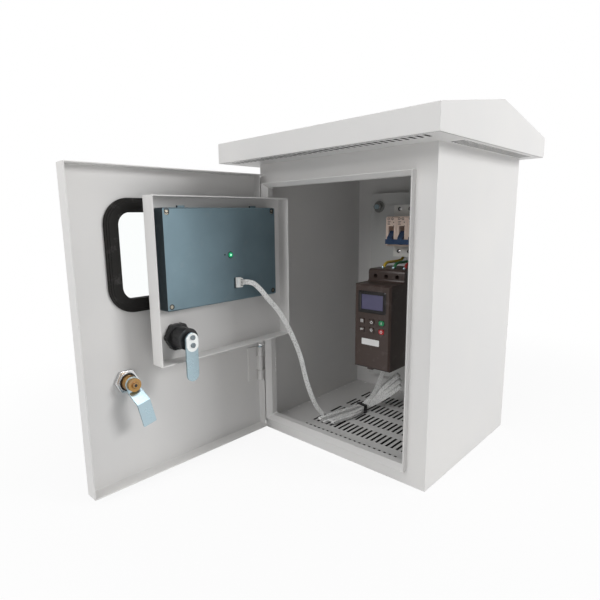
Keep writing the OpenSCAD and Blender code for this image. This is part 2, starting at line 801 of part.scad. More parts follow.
// Rubber section: one groove grips the door sheet, the other holds the pane
module window_trim() {
    mid = door_skin + sheet / 2;
    steps = [[sheet_edge + 3.5, 0], [(sheet_edge + trim_w + 3.5) / 2, 0.9], [trim_w, 1.9]];
    color(BLACK) door_pose() difference() {
        for (s = steps)
            upright(door_skin - trim_h + s[1], sheet + 2 * (trim_h - s[1])) window(s[0]);
        upright(door_skin - trim_h - past, sheet + 2 * (trim_h + past)) window(0);
        upright(mid - pane_t / 2, pane_t) window(pane_edge);
        upright(door_skin, sheet) difference() {
            window(trim_w + past);
            window(sheet_edge);
        }
    }
}

module window_pane() {
    color("#dfe8ea") door_pose() upright(door_skin + sheet / 2 - pane_t / 2, pane_t) window(pane_edge);
}

// One hinge's knuckle column between two heights
module knuckle(x, y, d, z0, z1) {
    translate([x, y, z0]) cylinder(h = z1 - z0, d = d);
}

module door_frame_leaf(z) {
    foot_t = 2;
    web_w = 3.6;
    foot_w = open_left - ridge_w - 1.5;
    color(CABINET) difference() {
        union() {
            translate([x_left + 0.5, y_front - foot_t, z - hinge_l / 2]) cube([foot_w, foot_t, hinge_l]);
            for (s = [-1, 1]) {
                z0 = z + (s < 0 ? -hinge_l / 2 : hinge_l / 2 - hinge_knuckle);
                translate([hinge_x - web_w / 2, hinge_y, z0]) cube([web_w, hinge_out, hinge_knuckle]);
                knuckle(hinge_x, hinge_y, hinge_barrel_d, z0, z0 + hinge_knuckle);
            }
        }
        knuckle(hinge_x, hinge_y, hinge_pin_d + 2 * run_fit, z - hinge_l, z + hinge_l);
    }
}

module door_door_leaf(z) {
    plate_w = 20;
    leaf_t = 1.5;
    web_w = 3.6;
    half = hinge_l / 2 - hinge_knuckle - knuckle_gap;
    color(CABINET) door_pose() difference() {
        union() {
            translate([hinge_x - web_w / 2, door_inner, z - hinge_l / 2]) cube([plate_w, leaf_t, hinge_l]);
            translate([hinge_x - web_w / 2, door_inner, z - half]) cube([web_w, hinge_y - door_inner, 2 * half]);
            knuckle(hinge_x, hinge_y, hinge_barrel_d, z - half, z + half);
        }
        knuckle(hinge_x, hinge_y, hinge_pin_d + 2 * run_fit, z - hinge_l, z + hinge_l);
    }
}

module door_hinge_upper_frame_leaf() door_frame_leaf(hinge_high_z);
module door_hinge_lower_frame_leaf() door_frame_leaf(hinge_low_z);
module door_hinge_upper_door_leaf() door_door_leaf(hinge_high_z);
module door_hinge_lower_door_leaf() door_door_leaf(hinge_low_z);

module door_hinge_pins() {
    head = 1.2;
    color(ZINC) for (z = [hinge_low_z, hinge_high_z]) {
        knuckle(hinge_x, hinge_y, hinge_pin_d, z - hinge_l / 2, z + hinge_l / 2);
        knuckle(hinge_x, hinge_y, hinge_pin_d + 2, z + hinge_l / 2, z + hinge_l / 2 + head);
    }
}

// Main door lock

module door_lock_housing() {
    head_t = 4;
    collar = 1.5;
    color("#d8dade") door_pose() difference() {
        union() {
            bar_y(lock_x, lock_z, lock_barrel_d + 8, door_skin - head_t, door_skin);
            bar_y(lock_x, lock_z, lock_barrel_d, door_skin, door_inner + lock_nut_t + collar);
        }
        bar_y(lock_x, lock_z, lock_core_d + 2 * run_fit, door_skin - head_t - past, cam_y);
    }
}

module door_lock_nut() {
    color("#d8dade") door_pose() difference() {
        translate([lock_x, door_inner + lock_nut_t, lock_z]) rotate([90, 0, 0])
            cylinder(h = lock_nut_t, d = lock_nut_af / cos(30), $fn = 6);
        bar_y(lock_x, lock_z, lock_barrel_d + 2 * run_fit, door_inner - past, door_inner + lock_nut_t + past);
    }
}

// Brass core with a key slot outside and a square neck for the cam
module door_lock_core() {
    neck = lock_core_d * 0.5;
    color("#b98a45") door_pose() difference() {
        union() {
            bar_y(lock_x, lock_z, lock_core_d, door_skin - 3, cam_y);
            translate([lock_x - neck / 2, cam_y - past, lock_z - neck / 2]) cube([neck, past + cam_t, neck]);
        }
        translate([lock_x - 1.5, door_skin - 3 - past, lock_z - 5]) cube([3, past + 5, 10]);
    }
}

// Joggled cam, pointing down and a little towards the hinges when unlocked
module door_lock_cam() {
    neck = lock_core_d * 0.5;
    color(ZINC) door_pose() translate([lock_x, cam_y, lock_z]) rotate([0, cam_lean, 0]) difference() {
        union() {
            bar_y(0, 0, 2 * cam_eye_r, 0, cam_t);
            intersection() {
                sweep_x(-cam_w / 2, cam_w) polygon([[0, 0], [0, -cam_bend_in], [cam_step, -cam_bend_out], [cam_step, -cam_reach],
                    [cam_step + cam_t, -cam_reach], [cam_step + cam_t, -cam_bend_out + 1], [cam_t, -cam_bend_in + 1], [cam_t, 0]]);
                translate([-cam_w / 2, -past, -cam_reach]) cube([cam_w, cam_step + cam_t + 2 * past, cam_reach]);
            }
        }
        rotate([0, -cam_lean, 0]) translate([-neck / 2 - 0.1, -past, -neck / 2 - 0.1])
            cube([neck + 0.2, cam_t + 2 * past, neck + 0.2]);
    }
}

// Brass boss and its screw, which hold the cam on the core
module door_lock_screw() {
    color("#b98a45") door_pose() {
        bar_y(lock_x, lock_z, lock_core_d - 2, cam_y + cam_t, cam_y + cam_t + cam_boss_t);
        bar_y(lock_x, lock_z, 8, cam_y + cam_t + cam_boss_t, cam_y + cam_t + cam_boss_t + 2);
    }
}

// Inner door

module inner_door_panel() {
    color(CABINET) inner_pose() difference() {
        translate([inner_x0, inner_face, inner_z0]) cube([inner_x1 - inner_x0, inner_d, inner_h]);
        translate([inner_x0 + sheet, inner_sheet, inner_z0 + sheet])
            cube([inner_x1 - inner_x0 - 2 * sheet, inner_d, inner_h - 2 * sheet]);
        translate([hmi_x0 + hmi_neck - 0.3, inner_face - past, hmi_z0 + hmi_neck - 0.3])
            cube([hmi_w - 2 * hmi_neck + 0.6, sheet + 2 * past, hmi_h - 2 * hmi_neck + 0.6]);
        bar_y(knob_x, knob_z, knob_body_d - 5.6, inner_face - past, inner_sheet + past);
    }
}

module inner_frame_leaf(z) {
    end = inner_hinge_l / 2;
    each_l = inner_hinge_l * 0.28;
    leaf_x = open_x0 - sheet - inner_leaf_t;
    color(ZINC) difference() {
        union() {
            translate([leaf_x, y_front + sheet + 0.5, z - end])
                cube([inner_leaf_t, inner_hinge_y - y_front - sheet - 4, inner_hinge_l]);
            for (z0 = [z - end, z + end - each_l]) {
                translate([leaf_x, y_front + sheet + 0.5, z0])
                    cube([inner_leaf_t, inner_hinge_y - y_front - sheet - 0.5, each_l]);
                translate([leaf_x, inner_hinge_y - inner_barrel_d / 2, z0])
                    cube([inner_hinge_x - leaf_x, inner_barrel_d / 2, each_l]);
                knuckle(inner_hinge_x, inner_hinge_y, inner_barrel_d, z0, z0 + each_l);
            }
        }
        knuckle(inner_hinge_x, inner_hinge_y, inner_pin_d + 2 * run_fit, z - 2 * end, z + 2 * end);
    }
}

module inner_door_leaf(z) {
    half = inner_hinge_l * 0.22 - knuckle_gap;
    leaf_l = 17;
    color(ZINC) inner_pose() difference() {
        union() {
            translate([inner_x0 - inner_leaf_t, inner_face + 0.5, z - inner_hinge_l / 2])
                cube([inner_leaf_t, leaf_l, inner_hinge_l]);
            translate([inner_x0 - inner_leaf_t, inner_hinge_y, z - half]) cube([inner_leaf_t, leaf_l, 2 * half]);
            translate([inner_hinge_x, inner_hinge_y, z - half])
                cube([inner_x0 - inner_hinge_x, inner_barrel_d / 2, 2 * half]);
            knuckle(inner_hinge_x, inner_hinge_y, inner_barrel_d, z - half, z + half);
        }
        knuckle(inner_hinge_x, inner_hinge_y, inner_pin_d + 2 * run_fit, z - inner_hinge_l, z + inner_hinge_l);
    }
}

module inner_hinge_upper_frame_leaf() inner_frame_leaf(inner_high_z);
module inner_hinge_lower_frame_leaf() inner_frame_leaf(inner_low_z);
module inner_hinge_upper_door_leaf() inner_door_leaf(inner_high_z);
module inner_hinge_lower_door_leaf() inner_door_leaf(inner_low_z);

module inner_hinge_pins() {
    color(ZINC) for (z = [inner_low_z, inner_high_z]) {
        knuckle(inner_hinge_x, inner_hinge_y, inner_pin_d, z - inner_hinge_l / 2, z + inner_hinge_l / 2);
        knuckle(inner_hinge_x, inner_hinge_y, inner_pin_d + 1.4, z + inner_hinge_l / 2, z + inner_hinge_l / 2 + 1);
    }
}

// Operator panel on the inner door

module hmi_housing() {
    edge = 1.5;
    clip = [10, 3.2, 2.4];
    color("#4d5a64") inner_pose() difference() {
        union() {
            intersection() {
                upright(inner_sheet, hmi_d) translate([hmi_x, hmi_z]) rounded_rect(hmi_w, hmi_h, 2);
                sweep_x(hmi_x0, hmi_w) polygon([[inner_sheet, hmi_z0], [hmi_rear - edge, hmi_z0], [hmi_rear, hmi_z0 + edge],
                    [hmi_rear, hmi_z0 + hmi_h - edge], [hmi_rear - edge, hmi_z0 + hmi_h], [inner_sheet, hmi_z0 + hmi_h]]);
            }
            translate([hmi_x0 + hmi_neck, inner_face, hmi_z0 + hmi_neck])
                cube([hmi_w - 2 * hmi_neck, sheet + past, hmi_h - 2 * hmi_neck]);
            for (x = [-0.3, 0.34] * hmi_w)
                translate([hmi_x + x - clip[0] / 2, hmi_rear - 8, hmi_z0 + hmi_h - past]) cube([clip[0], clip[1], clip[2] + past]);
        }
        at_hmi_corners() bar_y(0, 0, 6.6, hmi_rear - 2.6, hmi_rear + past);
        bar_y(lamp_x, lamp_z, lamp_d + 0.2, hmi_rear - 3, hmi_rear + past);
        bar_y(lamp_x + 9, lamp_z + 0.5, 2, hmi_rear - 3, hmi_rear + past);
        translate([socket_x - socket_w / 2 - 0.1, hmi_rear - 3, socket_z - socket_h / 2 - 0.1])
            cube([socket_w + 0.2, 3 + past, socket_h + 0.2]);
    }
}

module at_hmi_corners() {
    for (sx = [-1, 1], sz = [-1, 1])
        translate([hmi_x + sx * (hmi_w / 2 - hmi_screw_inset), 0, hmi_z + sz * (hmi_h / 2 - hmi_screw_inset)]) children();
}

module hmi_screws() {
    color("#8d8676") inner_pose() at_hmi_corners() bar_y(0, 0, 5.4, hmi_rear - 2.6, hmi_rear - 0.2);
}

module hmi_bezel() {
    recess = 1.2;
    margin = 17;
    color("#2c2f33") inner_pose() difference() {
        upright(inner_face - hmi_bezel_t, hmi_bezel_t) translate([hmi_x, hmi_z])
            rounded_rect(hmi_w + 2 * hmi_border, hmi_h + 2 * hmi_border, 5);
        translate([hmi_x0 - hmi_border + margin, inner_face - hmi_bezel_t - past, hmi_z0 - hmi_border + margin])
            cube([hmi_w + 2 * (hmi_border - margin), recess + past, hmi_h + 2 * (hmi_border - margin)]);
    }
}

module hmi_screen() {
    margin = 17;
    color("#31394a") inner_pose()
        translate([hmi_x0 - hmi_border + margin, inner_face - hmi_bezel_t + 0.2, hmi_z0 - hmi_border + margin])
            cube([hmi_w + 2 * (hmi_border - margin), 1, hmi_h + 2 * (hmi_border - margin)]);
}

module hmi_lamp() {
    color("#35c98e") inner_pose() bar_y(lamp_x, lamp_z, lamp_d, hmi_rear - 3, hmi_rear + 1.2);
}

module hmi_socket() {
    color("#e9e9e6") inner_pose() translate([socket_x - socket_w / 2, hmi_rear - 3, socket_z - socket_h / 2])
        cube([socket_w, 3 + socket_d, socket_h]);
}

// Inner door lock

module inner_lock_body() {
    lobes = 6;
    collar_t = 8;
    front_t = 5;
    body_end = inner_sheet + knob_body_l;
    color(BLACK) inner_pose() difference() {
        union() {
            bar_y(knob_x, knob_z, knob_body_d + 3, inner_face - front_t, inner_face);
            bar_y(knob_x, knob_z, knob_body_d - 6, inner_face, inner_sheet);
            bar_y(knob_x, knob_z, knob_collar_d - 3, inner_sheet, inner_sheet + collar_t);
            for (i = [0 : lobes - 1])
                bar_y(knob_x + (knob_collar_d / 2 - 5) * cos(i * 360 / lobes), knob_z + (knob_collar_d / 2 - 5) * sin(i * 360 / lobes),
                    10, inner_sheet, inner_sheet + collar_t);
            bar_y(knob_x, knob_z, knob_body_d, inner_sheet, body_end);
        }
        bar_y(knob_x, knob_z, spindle_d + 2 * run_fit, body_end - spindle_seat, body_end + past);
        translate([knob_x - 1.5, inner_face - front_t - past, knob_z - 8]) cube([3, 3 + past, 16]);
    }
}

module inner_lock_spindle() {
    color(ZINC) inner_pose() bar_y(knob_x, knob_z, spindle_d, inner_sheet + knob_body_l - spindle_seat + end_gap, blade_y);
}

// A flat strip with round ends, hanging from the lock axis
module hanging_strip(y, t, w, above, below) {
    upright(y, t) translate([knob_x, knob_z]) {
        translate([-w / 2, -below + w / 2]) square([w, above + below - w]);
        for (z = [above - w / 2, -below + w / 2]) translate([0, z]) circle(d = w);
    }
}

module inner_lock_blade() {
    color(ZINC) inner_pose() hanging_strip(blade_y, blade_t, blade_w, blade_w / 2 + 0.5, blade_reach);
}

module inner_lock_clamp() {
    color("#eef2f2") inner_pose() hanging_strip(blade_y + blade_t, clamp_t, blade_w - 0.6, blade_w / 2 + 0.2, blade_w / 2 + 5.5);
}

module inner_lock_screws() {
    color("#9aa2a4") inner_pose() for (z = [3.5, -6])
        bar_y(knob_x, knob_z + z, 6, blade_y + blade_t + clamp_t, blade_y + blade_t + clamp_t + 2);
}

// Angle on the right wall that the blade turns behind
module inner_lock_keeper() {
    reach = open_right - 5;
    leg_h = 36;
    leg_t = 2;
    leg_d = 16;
    edge_y = blade_y - 0.8;
    color(CABINET) translate([x_right - sheet, 0, knob_z - leg_h / 2]) {
        translate([-reach, edge_y - leg_t, 0]) cube([reach, leg_t, leg_h]);
        translate([-leg_t, edge_y - leg_d, 0]) cube([leg_t, leg_d, leg_h]);
    }
}

// Ribbon cable

module ribbon_run() {
    color("#dcdcda") tube(RIBBON, [0.94, -0.34, 0.2], ribbon_a, ribbon_b);
}

// Hank of folded ribbon on the floor, flat, with round ends
module ribbon_hank() {
    color("#d2d2cf") translate([0, 0, hank_z0]) linear_extrude(hank_h) hull() {
        translate(HANK_A) circle(11, $fn = 32);
        translate(HANK_B) circle(7, $fn = 32);
    }
}

module cable_tie() {
    run = unit(HANK_A - HANK_B);
    at = HANK_B + 4 * run;
    inside = [tie_l, 14.2, hank_h - 0.4];
    color(BLACK) translate([at[0], at[1], hank_z0 + hank_h / 2]) rotate([0, 0, atan2(run[1], run[0])])
        difference() {
            cube(inside + [0, 2 * tie_t, 2 * tie_t], center = true);
            cube(inside + [past, 0, 0], center = true);
        }
}

// Flat fan of loops beyond the tie, and the single strand up to the starter
module ribbon_loops() {
    along = unit(LOOP_B - LOOP_A);
    face = unit(cross(cross(along, [0.6, -0.8, 0]), along));
    up = cross(face, along);
    color("#d2d2cf") {
        multmatrix([[along[0], up[0], face[0], LOOP_A[0]], [along[1], up[1], face[1], LOOP_A[1]],
            [along[2], up[2], face[2], LOOP_A[2]], [0, 0, 0, 1]])
            translate([0, 0, -loop_t / 2]) linear_extrude(loop_t) hull() {
                circle(5, $fn = 24);
                translate([norm(LOOP_B - LOOP_A), 0]) circle(12, $fn = 32);
            }
        tube(LEAD, [0.8, 0.6, 0], ribbon_a, ribbon_b);
    }
}

body_shell();
front_frame();
floor_plate();
soffit_plate();
roof_cap();
mounting_plate();
plate_standoffs();
plate_nuts();
din_rail();
breaker_case();
breaker_toggle();
phase_wire_yellow();
phase_wire_green();
phase_wire_red();
starter_case();
starter_terminal_cover();
starter_keypad();
starter_screen();
key_menu();
key_up();
key_start();
key_back();
key_down();
key_stop();
door_panel();
window_trim();
window_pane();
door_hinge_upper_frame_leaf();
door_hinge_lower_frame_leaf();
door_hinge_upper_door_leaf();
door_hinge_lower_door_leaf();
door_hinge_pins();
door_lock_housing();
door_lock_nut();
door_lock_core();
door_lock_cam();
door_lock_screw();
inner_door_panel();
inner_hinge_upper_frame_leaf();
inner_hinge_lower_frame_leaf();
inner_hinge_upper_door_leaf();
inner_hinge_lower_door_leaf();
inner_hinge_pins();
hmi_housing();
hmi_bezel();
hmi_screen();
hmi_screws();
hmi_lamp();
hmi_socket();
inner_lock_body();
inner_lock_spindle();
inner_lock_blade();
inner_lock_clamp();
inner_lock_screws();
inner_lock_keeper();
ribbon_run();
ribbon_hank();
cable_tie();
ribbon_loops();
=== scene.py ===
"""Dresses the soft starter cabinet: painted sheet, locks, operator panel, switchgear, cables and stage."""

import json
import math

import bmesh
import bpy
from bpy.props import FloatProperty, FloatVectorProperty, PointerProperty
from mathutils import Matrix, Vector
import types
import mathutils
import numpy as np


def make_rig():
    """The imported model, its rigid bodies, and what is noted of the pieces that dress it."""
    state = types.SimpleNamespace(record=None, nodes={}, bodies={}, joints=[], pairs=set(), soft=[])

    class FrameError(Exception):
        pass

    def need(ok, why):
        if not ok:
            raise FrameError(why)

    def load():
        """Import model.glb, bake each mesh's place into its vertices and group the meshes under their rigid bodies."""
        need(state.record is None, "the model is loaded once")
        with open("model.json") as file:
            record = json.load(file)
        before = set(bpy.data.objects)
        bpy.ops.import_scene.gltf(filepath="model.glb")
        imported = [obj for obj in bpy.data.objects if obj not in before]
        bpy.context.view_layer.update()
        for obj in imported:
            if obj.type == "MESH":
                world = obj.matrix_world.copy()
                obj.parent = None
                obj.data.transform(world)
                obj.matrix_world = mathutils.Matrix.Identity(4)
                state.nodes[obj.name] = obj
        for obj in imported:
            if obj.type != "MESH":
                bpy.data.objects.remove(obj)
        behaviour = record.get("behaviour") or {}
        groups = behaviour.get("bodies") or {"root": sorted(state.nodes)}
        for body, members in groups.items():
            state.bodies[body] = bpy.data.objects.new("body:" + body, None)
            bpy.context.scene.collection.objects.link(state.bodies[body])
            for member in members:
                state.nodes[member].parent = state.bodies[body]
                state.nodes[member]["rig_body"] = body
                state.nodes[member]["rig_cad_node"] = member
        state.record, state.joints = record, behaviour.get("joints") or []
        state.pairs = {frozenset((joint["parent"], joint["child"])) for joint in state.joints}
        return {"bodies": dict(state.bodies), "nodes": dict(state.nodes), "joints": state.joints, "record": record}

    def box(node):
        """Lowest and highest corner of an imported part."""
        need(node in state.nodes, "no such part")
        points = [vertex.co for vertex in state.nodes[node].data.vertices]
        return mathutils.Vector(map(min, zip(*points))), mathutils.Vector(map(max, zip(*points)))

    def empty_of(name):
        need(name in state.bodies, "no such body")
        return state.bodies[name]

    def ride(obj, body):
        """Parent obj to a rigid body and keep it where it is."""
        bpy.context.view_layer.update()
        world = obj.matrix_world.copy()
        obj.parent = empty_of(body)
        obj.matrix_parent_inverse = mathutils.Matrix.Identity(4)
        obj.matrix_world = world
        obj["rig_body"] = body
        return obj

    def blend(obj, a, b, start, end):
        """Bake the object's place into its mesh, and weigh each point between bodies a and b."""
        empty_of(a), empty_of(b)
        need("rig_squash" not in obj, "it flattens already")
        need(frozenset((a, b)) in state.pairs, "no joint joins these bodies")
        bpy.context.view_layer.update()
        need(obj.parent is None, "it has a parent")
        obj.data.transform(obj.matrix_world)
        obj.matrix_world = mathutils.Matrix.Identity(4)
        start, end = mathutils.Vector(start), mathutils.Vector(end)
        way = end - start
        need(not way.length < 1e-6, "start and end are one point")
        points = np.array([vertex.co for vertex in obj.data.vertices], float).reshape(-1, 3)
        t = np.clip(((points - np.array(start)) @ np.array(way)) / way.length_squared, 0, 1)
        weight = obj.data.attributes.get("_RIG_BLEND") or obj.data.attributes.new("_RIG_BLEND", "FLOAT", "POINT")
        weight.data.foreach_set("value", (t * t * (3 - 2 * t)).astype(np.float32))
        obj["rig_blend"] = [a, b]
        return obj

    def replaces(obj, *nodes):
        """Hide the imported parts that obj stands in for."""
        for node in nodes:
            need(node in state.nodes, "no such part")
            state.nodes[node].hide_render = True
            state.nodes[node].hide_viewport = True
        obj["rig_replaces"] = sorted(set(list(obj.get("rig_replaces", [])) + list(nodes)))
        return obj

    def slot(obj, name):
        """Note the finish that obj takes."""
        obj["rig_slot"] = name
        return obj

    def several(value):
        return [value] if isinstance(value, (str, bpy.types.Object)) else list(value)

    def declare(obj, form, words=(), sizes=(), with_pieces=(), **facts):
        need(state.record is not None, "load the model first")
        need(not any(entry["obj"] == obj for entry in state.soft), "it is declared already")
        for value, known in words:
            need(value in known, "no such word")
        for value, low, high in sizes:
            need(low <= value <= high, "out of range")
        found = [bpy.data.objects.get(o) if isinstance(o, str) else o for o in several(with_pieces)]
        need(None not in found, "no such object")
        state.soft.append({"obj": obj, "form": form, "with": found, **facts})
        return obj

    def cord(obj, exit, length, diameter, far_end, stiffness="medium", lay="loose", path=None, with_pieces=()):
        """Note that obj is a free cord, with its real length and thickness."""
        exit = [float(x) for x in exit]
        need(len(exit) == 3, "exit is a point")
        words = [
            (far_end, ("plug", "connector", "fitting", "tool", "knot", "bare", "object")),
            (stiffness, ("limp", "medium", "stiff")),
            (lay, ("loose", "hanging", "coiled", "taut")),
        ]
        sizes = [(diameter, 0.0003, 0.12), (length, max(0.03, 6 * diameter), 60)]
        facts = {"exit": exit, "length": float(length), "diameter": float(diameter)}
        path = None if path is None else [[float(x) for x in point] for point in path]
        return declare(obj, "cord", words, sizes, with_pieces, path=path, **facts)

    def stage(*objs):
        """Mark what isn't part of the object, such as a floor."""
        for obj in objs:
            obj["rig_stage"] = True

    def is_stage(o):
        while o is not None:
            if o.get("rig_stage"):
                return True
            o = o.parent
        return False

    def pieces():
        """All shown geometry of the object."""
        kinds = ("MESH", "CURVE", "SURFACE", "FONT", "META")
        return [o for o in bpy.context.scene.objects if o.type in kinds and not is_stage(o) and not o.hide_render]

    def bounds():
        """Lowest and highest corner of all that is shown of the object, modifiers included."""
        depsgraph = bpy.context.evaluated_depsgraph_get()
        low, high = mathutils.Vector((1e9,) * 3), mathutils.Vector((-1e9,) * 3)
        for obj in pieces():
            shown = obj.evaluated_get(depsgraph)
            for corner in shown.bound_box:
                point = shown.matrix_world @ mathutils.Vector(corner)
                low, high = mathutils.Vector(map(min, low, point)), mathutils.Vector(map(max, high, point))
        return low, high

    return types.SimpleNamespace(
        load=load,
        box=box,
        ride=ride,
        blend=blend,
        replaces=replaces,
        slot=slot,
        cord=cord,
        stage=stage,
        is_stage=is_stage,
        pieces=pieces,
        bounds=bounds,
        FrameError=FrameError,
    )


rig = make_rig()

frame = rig.load()
CAD_BOX = [list(corner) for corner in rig.bounds()]
NODES = frame["nodes"]

bl_info = {
    "name": "Soft starter cabinet",
    "version": (1, 0, 0),
    "blender": (4, 5, 0),
    "location": "View3D > Sidebar > Cabinet",
    "description": "Looks, small fittings, cables and stage for the soft starter cabinet",
    "category": "Object",
}

# Lengths are in metres, except in the routes and symbols that say millimetres

MM = 0.001
RIGHT, BACK, UP = (1, 0, 0), (0, 1, 0), (0, 0, 1)
FRONT_PLANE = (RIGHT, UP)  # its normal points to the front
SIDE_PLANE = (BACK, UP)  # its normal points to the right
SHARP = math.radians(35)  # an edge that turns further than this is a sharp one
FLAT = math.radians(0.5)  # faces that turn less than this are one flat
SEAM_GAP = 0.00001
WIRES = ("phase_wire_yellow", "phase_wire_green", "phase_wire_red")


def hinge_leaves(door):
    """Names of the four leaves of a door's hinges."""
    return [f"{door}_hinge_{level}_{side}_leaf" for side in ("frame", "door") for level in ("lower", "upper")]


def box_corners(node):
    """A node's lowest and highest corners at rest."""
    low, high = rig.box(node)
    return Vector(low), Vector(high)


def middle(node):
    """Middle of a node's box at rest."""
    low, high = box_corners(node)
    return (low + high) / 2


COLOUR = {"subtype": "COLOR", "size": 3, "min": 0.0, "max": 1.0}


class PaintLooks(bpy.types.PropertyGroup):
    """Powder paint on the folded sheet."""

    colour: FloatVectorProperty(
        name="Paint", description="Pale grey of the powder paint", default=(0.72, 0.71, 0.70), **COLOUR)
    plate: FloatVectorProperty(
        name="Plate paint", description="Grey of the mounting plate", default=(0.60, 0.60, 0.59), **COLOUR)
    roughness: FloatProperty(
        name="Roughness", description="Roughness of the paint", subtype="FACTOR", min=0.0, max=1.0, default=0.42)
    edge: FloatProperty(
        name="Fold radius", description="Outer radius of the sheet's folds", unit="LENGTH",
        min=0.0001, max=0.003, default=0.0007)


class FittingLooks(bpy.types.PropertyGroup):
    """Locks, hinges and fasteners."""

    zinc: FloatVectorProperty(
        name="Zinc", description="Bluish white of the plated steel", default=(0.44, 0.57, 0.63), **COLOUR)
    chrome: FloatVectorProperty(
        name="Chrome", description="Bright plate of the lock", default=(0.72, 0.72, 0.72), **COLOUR)
    brass: FloatVectorProperty(
        name="Brass", description="Brass of the lock's core", default=(0.42, 0.24, 0.085), **COLOUR)
    rubber: FloatVectorProperty(
        name="Rubber", description="Black of the window trim", default=(0.017, 0.016, 0.015), **COLOUR)


class GearLooks(bpy.types.PropertyGroup):
    """Operator panel, breaker and starter."""

    # This bluish tone holds a painted sheen of cool light; the case's own dark grey is that of its sides
    slate_with_painted_sheen: FloatVectorProperty(
        name="Panel case", description="Slate grey of the panel", default=(0.172, 0.240, 0.275), **COLOUR)
    starter: FloatVectorProperty(
        name="Starter case", description="Dark brown of the starter", default=(0.055, 0.036, 0.030), **COLOUR)
    cream: FloatVectorProperty(
        name="Breaker nose", description="Pinkish cream of the breaker", default=(0.86, 0.68, 0.58), **COLOUR)
    lever: FloatVectorProperty(
        name="Breaker lever", description="Dark blue of the levers and tie bar",
        default=(0.020, 0.052, 0.125), **COLOUR)
    lamp: FloatVectorProperty(
        name="Lamp", description="Green of the lit lamp", default=(0.02, 0.42, 0.18), **COLOUR)


class CableLooks(bpy.types.PropertyGroup):
    """Ribbon cable."""

    colour: FloatVectorProperty(
        name="Ribbon", description="Pale grey of the flat cable", default=(0.94, 0.94, 0.93), **COLOUR)
    width: FloatProperty(
        name="Ribbon width", description="Width of the flat cable", unit="LENGTH",
        min=0.004, max=0.012, default=0.0068)
    thickness: FloatProperty(
        name="Ribbon thickness", description="Thickness of the flat cable", unit="LENGTH",
        min=0.001, max=0.004, default=0.0018)


class StageLooks(bpy.types.PropertyGroup):
    """Light, floor and camera."""

    key: FloatProperty(
        name="Key light", description="Power of the large light on the right", unit="POWER",
        min=0.0, max=500.0, default=17.0)
    fill: FloatProperty(
        name="Fill light", description="Power of the light above, half that of the one in front", unit="POWER",
        min=0.0, max=500.0, default=9.0)
    ambient: FloatProperty(
        name="Ambient", description="Strength of the light from all round", min=0.0, max=2.0, default=0.34)
    lens: FloatProperty(
        name="Lens", description="Focal length for a 36 mm sensor", unit="CAMERA",
        min=10.0, max=200.0, default=28.05)


# Shader nodes

def feed(tree, socket, value):
    """Feeds a socket from another one, or sets it to a plain value."""
    if isinstance(value, bpy.types.NodeSocket):
        tree.links.new(value, socket)
    else:
        socket.default_value = value


def give(tree, node, **values):
    """Feeds a node's sockets by name, with _ for each space, and sets its other properties."""
    for key, value in values.items():
        label = key.replace("_", " ")
        if label in node.inputs:
            feed(tree, node.inputs[label], value)
        else:
            setattr(node, key, value)
    return node


def add(tree, kind, **values):
    """A new node with its values."""
    return give(tree, tree.nodes.new(kind), **values)


def math_node(tree, operation, a, b=0.0):
    """A math node's result."""
    node = add(tree, "ShaderNodeMath", operation=operation)
    for socket, value in zip(node.inputs, (a, b)):
        feed(tree, socket, value)
    return node.outputs[0]


def mix_colour(tree, factor, a, b, blend="MIX"):
    """A mix of two colours."""
    node = add(tree, "ShaderNodeMix", data_type="RGBA", blend_type=blend)
    for index, value in ((0, factor), (6, a), (7, b)):
        feed(tree, node.inputs[index], value)
    return node.outputs[2]


def place(tree, scale=(1.0, 1.0, 1.0)):
    """Object coordinates in metres, stretched by a scale."""
    coords = tree.nodes.new("ShaderNodeTexCoord").outputs["Object"]
    return add(tree, "ShaderNodeMapping", Vector=coords, Scale=scale).outputs["Vector"]


def xyz(tree, vector):
    """The three numbers of a vector."""
    return add(tree, "ShaderNodeSeparateXYZ", Vector=vector).outputs


def noise(tree, vector, scale, detail=2.0, rough=0.5):
    """A noise texture's value."""
    node = add(tree, "ShaderNodeTexNoise", Vector=vector, Scale=scale, Detail=detail, Roughness=rough)
    return node.outputs["Fac"]


def ramp(tree, value, low, high, **others):
    """A value stretched so that low becomes 0 and high becomes 1."""
    node = add(tree, "ShaderNodeMapRange", Value=value, From_Min=low, From_Max=high, **others)
    return node.outputs["Result"]


def patches(tree, value, low, high, amount, base, colour):
    """A base colour with some of another where a value is high."""
    mask = math_node(tree, "MULTIPLY", ramp(tree, value, low, high), amount)
    return mix_colour(tree, mask, base, colour)


def vary(tree, base, value, amount):
    """A base number that moves with a noise's distance from its middle."""
    spread = math_node(tree, "MULTIPLY", math_node(tree, "SUBTRACT", value, 0.5), amount)
    return math_node(tree, "ADD", base, spread)


# Shader groups that several finishes share

SKIN_TAKES = (("Colour", "NodeSocketColor"), ("Roughness", "NodeSocketFloat"))
SKIN_GIVES = (*SKIN_TAKES, ("Height", "NodeSocketFloat"))


def new_skin(name):
    """An empty group with a finish's sockets, its coordinates, and what it takes."""
    group = bpy.data.node_groups.new(name, "ShaderNodeTree")
    for way, sockets in (("INPUT", SKIN_TAKES), ("OUTPUT", SKIN_GIVES)):
        for label, kind in sockets:
            group.interface.new_socket(label, in_out=way, socket_type=kind)
    return group, place(group), group.nodes.new("NodeGroupInput").outputs


def close_skin(group, *results):
    """Puts a finish's colour, roughness and height out of its group."""
    out = group.nodes.new("NodeGroupOutput")
    for (label, _), result in zip(SKIN_GIVES, results):
        group.links.new(result, out.inputs[label])


